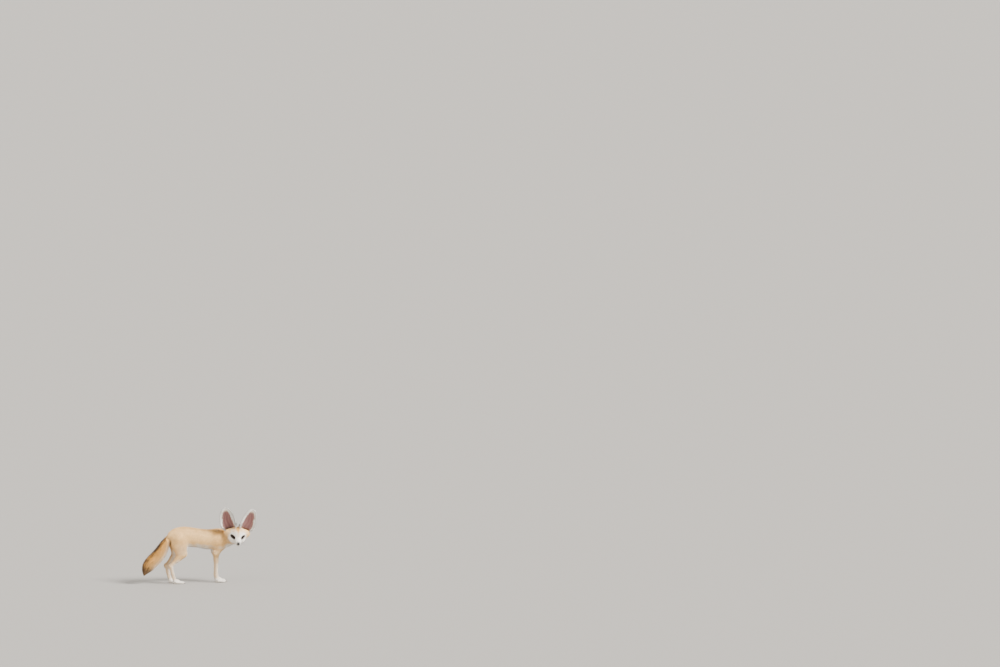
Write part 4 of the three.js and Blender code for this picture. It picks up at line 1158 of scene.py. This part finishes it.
def makeCoat(name, slot, lines, sides, widths, normals, marks, shade, uv):
    pieces = math.ceil(len(lines) / coatSet["mostInPiece"])
    order = np.argsort(uv[:, 1], kind="stable")
    for i, part in enumerate(np.array_split(order, pieces)):
        own = uv[part]
        low, high = own.min(0), own.max(0)
        own = 0.01 + 0.98 * (own - low) / np.maximum(high - low, 1e-6)
        title = name if pieces == 1 else f"{name}_{i + 1}"
        data = (lines[part], sides[part], widths[part], normals[part], marks[part], shade[part], own)
        points, faces, attributes, soft, patches = bladeMesh(*data)
        points[:, 2] = np.maximum(points[:, 2], coatSet["lowest"])
        piece = makePiece(title, points, faces, hairMaterial, attributes, soft, patches)
        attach(piece, "root")
        coatCount.append((title, len(faces)))


# roots spread evenly over the skin, more of them where the coat is short and fine
def scatter(points, quads, normals, density):
    a, b, c, d = (points[quads[:, i]] for i in range(4))
    area = np.linalg.norm(np.cross(c - a, d - b), axis=1) / 2
    number = area * density((a + b + c + d) / 4)
    face = np.repeat(np.arange(len(quads)), (number + chance.random(len(quads))).astype(int))
    u, v = chance.random((2, len(face), 1))
    w = ((1 - u) * (1 - v), u * (1 - v), u * v, (1 - u) * v)
    q = quads[face]
    p = sum(wi * points[q[:, i]] for i, wi in enumerate(w))
    return p, unit(sum(wi * normals[q[:, i]] for i, wi in enumerate(w)))


# which way the hair lies: each form's own direction, blended by how near it is
def lieAt(p):
    x, y, z = p.T
    q = toHead(p)
    ways, weights = [], []

    def push(d, way):
        way = np.broadcast_to(np.asarray(way, float), p.shape)
        ways.append(unit(way))
        weights.append(np.exp(-np.clip(d, -2, 80) / 4))

    push(trunk(p), (-1, 0, -0.28))
    push(neck(p) + 1, (-0.9, 0.36, -0.42))
    for side in (1, -1):
        for name, here in (("hind", x < 10), ("fore", x > 10)):
            rows = legSet[name]["lie"]
            d = where(p, here & (y * side > -10), 60, lambda k: leg(k, name, side))
            push(d, np.stack([smoothTable(rows, z, 1), 0 * z, smoothTable(rows, z, 2)], 1))
    sign = np.sign(q[:, 1])
    top = step(2, 16, q[:, 2])
    cheek = step(8, -14, q[:, 0])
    own = np.stack([-1 + 0 * x, sign * (0.25 + 0.35 * cheek), -0.12 - 0.4 * cheek + 0.6 * top], 1)
    push(headNear(p, 60), own @ headAxes.T)
    dTail = where(p, x < -100, 60, tailCore)
    u = np.clip((-106 - x) * 1.3, 2, tailEnd)
    push(dTail, tailFrame(u)[1])
    w = np.array(weights)
    w /= w.sum(0)
    return unit((w[..., None] * np.array(ways)).sum(0))


def layered(p, n, lie, length, height, rings, field=None):
    # points from root to tip, at heights over the skin that grow along the blade
    lie = unit(lie - (lie * n).sum(1)[:, None] * n)
    side = np.cross(n, lie)
    together, alone = coatSet["swirl"]
    swirl = together * np.stack([wave(p, 26, 11), wave(p, 26, 12)], 1)
    swirl = swirl + alone * chance.normal(size=(len(p), 2))
    lie = unit(lie + swirl[:, :1] * side)
    lines = np.empty((len(p), rings + 1, 3))
    lines[:, 0] = p - n * coatSet["sink"]
    for i in range(1, rings + 1):
        s = i / rings
        wanted = height * (1 - (1 - s) ** 1.8)
        curl = side * (coatSet["curl"] * swirl[:, 1] * length * s * s)[:, None]
        at = p + lie * (length * s)[:, None] + curl + n * wanted[:, None]
        if field:
            for _ in range(2):
                at += n * np.clip(wanted - field(at), -4, 4)[:, None]
        lines[:, i] = at
    return lines, np.cross(n, lie)


def roundUv(p, centre, along):
    # how far round an axis and how far along it a place is
    a = unit(along)
    b = unit(np.cross(a, (0.3, 0.9, 0.2)))
    c = np.cross(a, b)
    v = p - centre
    return np.stack([np.arctan2(v @ b, v @ c) / (2 * math.pi), v @ a], 1)


# the short coat by region: length and width in millimetres, and tufts to a square millimetre. Leg, paw, rump,
# nose and eye are what is added there to the body's or the head's numbers.
shortCoat = {
    "body": (13, 1.3, 0.7),
    "leg": (-7.2, -0.52, 0.42),
    "paw": (-2.2, -0.16, 0.55),
    "rump": (4, 0, 0),
    "head": (8.5, 1.15, 1.1),
    "nose": (-5.2, -0.62, 2.1),
    "eye": (-1.2, -0.1, 0.8),
}


def coatPlan(p):
    x, _, z = p.T
    m = leftHalf(toHead(p))
    leg, paw = step(140, 96, z), step(34, 16, z)
    rump = bell(x, 16, -104) * step(100, 130, z)
    near = step(9, 2, headNear(p, 60) + 2)
    front = step(-24, 26, m[:, 0])
    eye = step(24, 14, np.linalg.norm(m - (0, 14, 0), axis=1))
    plan = []
    for onBody, onLeg, onPaw, onRump, onHead, onNose, onEye in zip(*shortCoat.values()):
        value = onBody + onLeg * leg + onPaw * paw + onRump * rump
        plan.append(value + near * (onHead + onNose * front + onEye * eye - value))
    return plan


def bareSpot(p):
    m = leftHalf(toHead(p))
    a, b, c, v = eyeLocal(m)
    around = np.linalg.norm(v, axis=1)
    eye = (around < 13) & (c > 0.5) & (lidOpening(a, b) < 1.0)
    nosePad = np.linalg.norm((m - (noseTip[0] - 3, 0, noseTip[2])) / (6.4, 5.8, 5.0), axis=1) < 1
    seam = (lineDistance(m, mouthLine) < 0.5) & (np.linalg.norm(m, axis=1) < 60)
    return eye | nosePad | seam | (p[:, 2] < 1.2)


roots, rootNormals = scatter(skinPoints, skinQuads, skinNormals, lambda p: coatPlan(p)[2])
kept = ~bareSpot(roots) & ~((roots[:, 0] < -124) & (tailCore(roots) < 2.5) & (roots[:, 2] > 60))
roots, rootNormals = roots[kept], rootNormals[kept]
length, width = coatPlan(roots)[:2]
marks = marksAt(roots)
shade = np.clip(0.5 + 0.12 * chance.normal(size=len(roots)) + 0.1 * wave(roots, 14, 21), 0, 1)
length = length * chance.uniform(0.75, 1.2, len(roots))
height = coatDepth(roots) * chance.uniform(0.6, 1.0, len(roots))
lie = lieAt(roots)
rings = 2


def spread(p):
    return inChunks(skinField, p)


lines, sides = layered(roots, rootNormals, lie, length, height, rings, spread)
width = width * chance.uniform(0.8, 1.25, len(roots))
print("short coat", len(roots))

x, y, z = roots.T
onHead = (roots - (146, -33, 180)) @ unit((0.37, -0.87, 0.3)) > 0
onNeck = ~onHead & ((roots - (99, 0, 165)) @ unit((0.949, 0, 0.316)) > 0) & (z > 128)
legLow = ~onHead & ~onNeck & (z < np.where(x < 0, 132, 122))
# the coat's pieces: which roots, the slot, and the axis that their texture map goes round
areas = {
    "coat_head": (onHead, "pale_coat", eyesMiddle + headAxes @ (-16.0, 0, 0), headAxes[:, 0]),
    "coat_neck": (onNeck, "cream_coat", (115, -3, 169), (1, -0.3, 0.2)),
    "coat_body": (~onHead & ~onNeck & ~legLow, "cream_coat", (0, 0, 175), (1, 0, 0)),
}
for sideName, side in (("left", 1), ("right", -1)):
    for legName, front in (("fore", True), ("hind", False)):
        own = legLow & ((x > 0) == front) & (y * side > 0)
        axis = ((70 if front else -98) + strideAt(legName, side, 0), side * legSet[legName]["stance"], 0)
        areas[f"coat_{legName}_leg_{sideName}"] = (own, "pale_coat", axis, (0, 0, 1))
for name, (mask, slotName, centre, along) in areas.items():
    uv = roundUv(roots[mask], np.array(centre, float), np.array(along, float))
    own = (lines, sides, width, rootNormals, marks, shade)
    makeCoat(name, slotName, *(v[mask] for v in own), uv)


# the tail's long hair: from the core along the tail, out to the coat's reach, drawn together into locks
tailHair = {
    "count": 8400,
    "length": (24, 40),
    "width": (1.5, 2.6),
    "rings": 3,
    "locks": 420,
    "gather": 0.55,  # how far a tuft turns towards its lock
    "fullness": (0.62, 1.0),
    "fullTip": 0.22,  # the coat stands out this much more near the tail's tip
}


def makeTail():
    s = tailHair
    n = s["count"]
    lockU = chance.uniform(2, tailEnd - 2, s["locks"])
    lockTurn = chance.uniform(-math.pi, math.pi, s["locks"])
    u = tailEnd * chance.random(n) ** 0.92
    turn = chance.uniform(-math.pi, math.pi, n)
    gap = np.abs(((turn[:, None] - lockTurn) + math.pi) % (2 * math.pi) - math.pi) * 18
    nearest = np.argmin(gap**2 + (u[:, None] - lockU) ** 2, axis=1)
    pull = ((lockTurn[nearest] - turn + math.pi) % (2 * math.pi) - math.pi) * s["gather"]
    share = smoothTable(tailTable, u, 3)
    reach = chance.uniform(*s["length"], n) * (0.55 + 0.45 * share)
    to = np.minimum(u + reach, tailEnd + 7 * chance.random(n))
    fullness = chance.uniform(*s["fullness"], n)
    core = smoothTable(tailTable, u, 4) * tailSet["reach"] - 1.2
    lines = np.empty((n, s["rings"] + 1, 3))
    for i in range(s["rings"] + 1):
        k = i / s["rings"]
        at = u + (to - u) * k
        place, along, upper = tailFrame(at)
        fuller = 1 + s["fullTip"] * step(135, 165, at)
        coat = smoothTable(tailTable, np.minimum(at, tailEnd), 3) * tailSet["reach"] * fuller
        ends = np.clip((tailEnd + 8 - at) / 12, 0.1, 1)
        out = (core + (coat * fullness - core) * (1 - (1 - k) ** 1.8)) * np.minimum(ends + (k == 0), 1)
        stir = wave(place + 20 * np.stack([turn, turn, 0 * turn], 1), 30, 31)
        angle = turn + pull * k**1.3 + 0.06 * stir * k
        radial = np.cos(angle)[:, None] * upper + np.sin(angle)[:, None] * np.array((0, 1, 0))
        lines[:, i] = place + radial * out[:, None]
        if i == 1:
            normal, way = radial, along
    sides = unit(np.cross(normal, way))
    base = lines[:, 0]
    marks = tailMarksAt(np.minimum(u + 0.5 * reach, tailEnd), turn, base)
    shade = np.clip(0.5 + 0.17 * chance.normal(size=n) + 0.15 * chance.normal(size=s["locks"])[nearest], 0, 1)
    uv = np.stack([turn / (2 * math.pi), u], 1)
    keep = base[:, 0] < -112
    width = chance.uniform(*s["width"], n) * (0.6 + 0.4 * share)
    data = (lines, sides, width, normal, marks, shade, uv)
    makeCoat("coat_tail", "tail_coat", *(v[keep] for v in data))


makeTail()
print("tail coat made")


# ears: hair of the back, the cup, the rim, the long white fringe and the foot, each rising from the wall by a
# share of its length
earHair = {
    "back": {"count": 4400, "length": (4.5, 7), "width": (0.8, 1.2), "rise": 0.16, "bend": 1.8, "rings": 2},
    "cup": {"count": 4600, "length": (4, 7), "width": (0.35, 0.6), "rise": 0.22, "bend": 1.6, "rings": 2},
    "rim": {"count": 3000, "length": (3, 5.5), "width": (0.5, 0.8), "rise": 0.12, "bend": 1.6, "rings": 2},
    "fringe": {"length": (0.6, 1.1), "width": (0.5, 0.95), "rise": (0.18, 0.42), "bend": 1.4, "rings": 3},
    "foot": {
        "count": 600,
        "length": (8, 12),
        "width": (0.8, 1.2),
        "rise": (0.1, 0.24),
        "bend": 1.5,
        "rings": 3,
    },
}
# the fringe's edges: -1 is nearer the crown. Count, from and to along the ear, and length.
earFringe = ((-1, 1500, 0.03, 0.8, 22), (1, 900, 0.03, 0.5, 15))


def makeEarCoat(side):
    groups = []

    def add(group, s, t, inner, across, marks, longer=1.0, along=1.0, lowest=0.002):
        g, n = earHair[group], len(s)
        length = chance.uniform(*g["length"], n) * longer
        rise = chance.uniform(*g["rise"], n) if isinstance(g["rise"], tuple) else g["rise"]
        width = chance.uniform(*g["width"], n)
        lean = across(n)
        normal, up, sideways = earNormal(np.clip(s, lowest, 0.999), t, side)
        face = normal * np.where(inner, 1, -1)[:, None]
        root = earWall(s, t, side) + face * earSet["wall"] * 0.4
        way = unit(along * up + lean[:, None] * sideways)
        lines = np.empty((n, g["rings"] + 1, 3))
        for i in range(g["rings"] + 1):
            k = i / g["rings"]
            lifted = rise * (1 - (1 - k) ** g["bend"]) * length
            lines[:, i] = root + way * (length * k)[:, None] + face * lifted[:, None]
        shade = np.clip(0.55 + 0.17 * chance.normal(size=n), 0, 1)
        uv = np.stack([t * 0.24 + np.where(inner, 0.25, 0.75), s], 1)
        blade = unit(np.cross(face, way))
        rim = step(0.7, 1, np.abs(t)) * np.sign(t)
        outward = unit(face + 1.4 * rim[:, None] * sideways + 1.2 * step(0.85, 1, s)[:, None] * up)
        blade, outward = ((v * (1, side, 1)) @ headAxes.T for v in (blade, outward))
        placed = fromEar(lines.reshape(-1, 3), side).reshape(lines.shape)
        groups.append((placed, blade * side, width, outward, marks, shade, uv))

    n = earHair["back"]["count"]
    s, t = chance.uniform(0.02, 0.985, n), chance.uniform(-0.97, 0.97, n)
    back = np.zeros(n, bool)
    add("back", s, t, back, lambda n: 0.2 * chance.normal(size=n) + 0.1 * t, earMarks(s, t, 0 * s))
    # thin over the bare middle of the cup
    n = earHair["cup"]["count"]
    s, t = chance.uniform(0.04, 0.985, n), chance.uniform(-1, 1, n)
    thin = chance.random(n) < step(0.45, 0.84, np.abs(t - 0.06))
    s, t = s[thin], t[thin]
    white = earMarks(s, 0.98 * np.sign(t), 1 + 0 * s)
    add("cup", s, t, s > 0, lambda n: -0.5 * np.sign(t) + 0.2 * chance.normal(size=n), white)
    n = earHair["rim"]["count"]
    t = np.sign(chance.uniform(-1, 1, n)) * chance.uniform(0.93, 1, n)
    s = chance.uniform(0.03, 1, n)
    inner = chance.random(n) < 0.5
    white = earMarks(s, t, 1 + 0 * s)
    add("rim", s, t, inner, lambda n: 0.6 * np.sign(t) + 0.2 * chance.normal(size=n), white)
    for edge, n, low, high, long in earFringe:
        s = low + (high - low) * chance.random(n) ** 1.5
        t = edge * chance.uniform(0.72, 0.99, n)
        white = earMarks(s, 0.99 * np.sign(t), 1 + 0 * s)
        longer = long * (1 - 0.45 * s)
        add("fringe", s, t, s > 0, lambda n: -edge * chance.uniform(0.1, 0.75, n), white, longer, 0.95)
    n = earHair["foot"]["count"]
    s, t = chance.uniform(-0.02, 0.2, n), chance.uniform(-0.68, 0.68, n)
    add("foot", s, t, np.zeros(n, bool), lambda n: 0.3 * t, earMarks(0.2 + 0 * s, t, 0 * s), lowest=0.24)
    name = "left" if side > 0 else "right"
    for kind, rings in (("short", 2), ("fringe", 3)):
        own = [g for g in groups if g[0].shape[1] == rings + 1]
        makeCoat(f"coat_ear_{name}_{kind}", "pale_coat", *(np.concatenate(column) for column in zip(*own)))


makeEarCoat(1)
makeEarCoat(-1)
print("ear coats made")


# claws and whiskers
def taperedTube(line, radius, sides, flat=1.0):
    line = np.asarray(line, float)
    along = unit(np.gradient(line, axis=0))
    wide = unit(np.cross(along, (0.01, 0.02, 1)))
    up = np.cross(wide, along)
    turn = np.arange(sides) / sides * 2 * math.pi
    ring = np.cos(turn)[None, :, None] * wide[:, None] * flat + np.sin(turn)[None, :, None] * up[:, None]
    points = (line[:, None] + ring * np.asarray(radius)[:, None, None]).reshape(-1, 3)
    a, b, c, d = wrapped(len(line), sides)
    faces = [np.stack([a, b, c], 1), np.stack([a, c, d], 1)]
    fan = np.arange(1, sides - 1)
    end = (len(line) - 1) * sides
    faces += [np.stack([0 * fan, fan + 1, fan], 1), np.stack([end + 0 * fan, end + fan, end + fan + 1], 1)]
    return points, np.concatenate(faces)


clawSet = {"length": 7.2, "root": 3, "radius": 1.4, "drop": 2.4, "flat": 0.75, "sides": 10, "lowest": 0.2}


def makeClaws():
    c = clawSet
    tubes = []
    s = np.linspace(0, 1, 9)
    for side in (1, -1):
        for name, own in legSet.items():
            x, z = own["paw"]
            x += strideAt(name, side, 0)
            for k in toes:
                a, b = toeLine((x, side * own["stance"], z), own["reach"], k)
                ahead = unit((b[0] - a[0], b[1] - a[1], 0))
                tip = np.array(b) + ahead * 4 + (0, 0, 0.2)
                along = (-c["root"] + (c["root"] + c["length"]) * s)[:, None] * ahead
                line = tip + along - np.outer(c["drop"] * s * s, (0, 0, 1))
                tubes.append(taperedTube(line, c["radius"] * (1 - 0.9 * s**1.4), c["sides"], c["flat"]))
    points, faces = joined(tubes)
    points[:, 2] = np.maximum(points[:, 2], c["lowest"])
    material, tree, shader = glossy("claw_horn", "claw", 0.35)
    place = node(tree, "TexCoord").outputs["Object"]
    streak = node(tree, "TexNoise", {"Vector": place, "Scale": 900.0}).outputs[0]
    horn = mixed(tree, streak, srgb(colours["claw"]), srgb(colours["clawPale"]))
    fill(tree, shader, {"Base Color": horn})
    piece = makePiece("claws", points, faces, material)
    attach(piece, "root")


whiskerSet = {
    "rows": 4,
    "columns": 3,
    "first": (33, 4.2, -12.8),
    "nextColumn": (-4.2, 1.5, 0),
    "nextRow": (-0.8, 0, -1.7),
    "length": 24,
    "radius": 0.17,
}


def makeWhiskers():
    w = whiskerSet
    tubes = []
    s = np.linspace(0, 1, 8)
    for side in (1, -1):
        for row in range(w["rows"]):
            for column in range(w["columns"]):
                start = np.array(w["first"]) + column * np.array(w["nextColumn"])
                start = start + row * np.array(w["nextRow"])
                reach = w["length"] + 5 * column + 3 * chance.normal()
                way = unit((-0.35 - 0.1 * column, 0.95, 0.12 - 0.16 * row))
                line = start + np.outer(s * reach, way) + np.outer(s * s * reach, (-0.22, 0, -0.12))
                tubes.append(taperedTube(fromHead(line * (1, side, 1)), w["radius"] * (1 - 0.85 * s), 3))
    points, faces = joined(tubes)
    piece = makePiece("whiskers", points, faces, glossy("whisker", "claw", 0.4)[0])
    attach(piece, "root")


makeClaws()
makeWhiskers()
print("claws and whiskers made")


# stage: a plain pale floor, a pale sky and soft light. A lamp has a strength, a size in degrees and a place.
stageSet = {
    "reach": 400.0,
    "sky": 1.25,
    "lamps": {"key": (8.2, 24, (0.62, -0.62, 0.7)), "fill": (1.4, 60, (-0.8, -0.5, 0.5))},
}


def makeStage():
    reach = stageSet["reach"]
    mesh = bpy.data.meshes.new("floor")
    corners = [(-reach, -reach, 0), (reach, -reach, 0), (reach, reach, 0), (-reach, reach, 0)]
    mesh.from_pydata(corners, [], [(0, 1, 2, 3)])
    material, tree, shader = newMaterial("plain_floor")
    fill(tree, shader, {"Base Color": srgb(colours["floor"]), "Roughness": 0.9})
    mesh.materials.append(material)
    floor = bpy.data.objects.new("floor", mesh)
    bpy.context.scene.collection.objects.link(floor)
    world = bpy.data.worlds.new("studio")
    world.use_nodes = True
    background = world.node_tree.nodes["Background"]
    background.inputs[0].default_value = srgb(colours["sky"])
    background.inputs[1].default_value = stageSet["sky"]
    bpy.context.scene.world = world
    for name, (energy, size, way) in stageSet["lamps"].items():
        data = bpy.data.lights.new(name, "SUN")
        data.energy, data.angle = energy, math.radians(size)
        lamp = bpy.data.objects.new(name, data)
        lamp.rotation_euler = Vector(way).to_track_quat("Z", "Y").to_euler()
        bpy.context.scene.collection.objects.link(lamp)


makeStage()
print("coat triangles", sum(c for _, c in coatCount), coatCount)
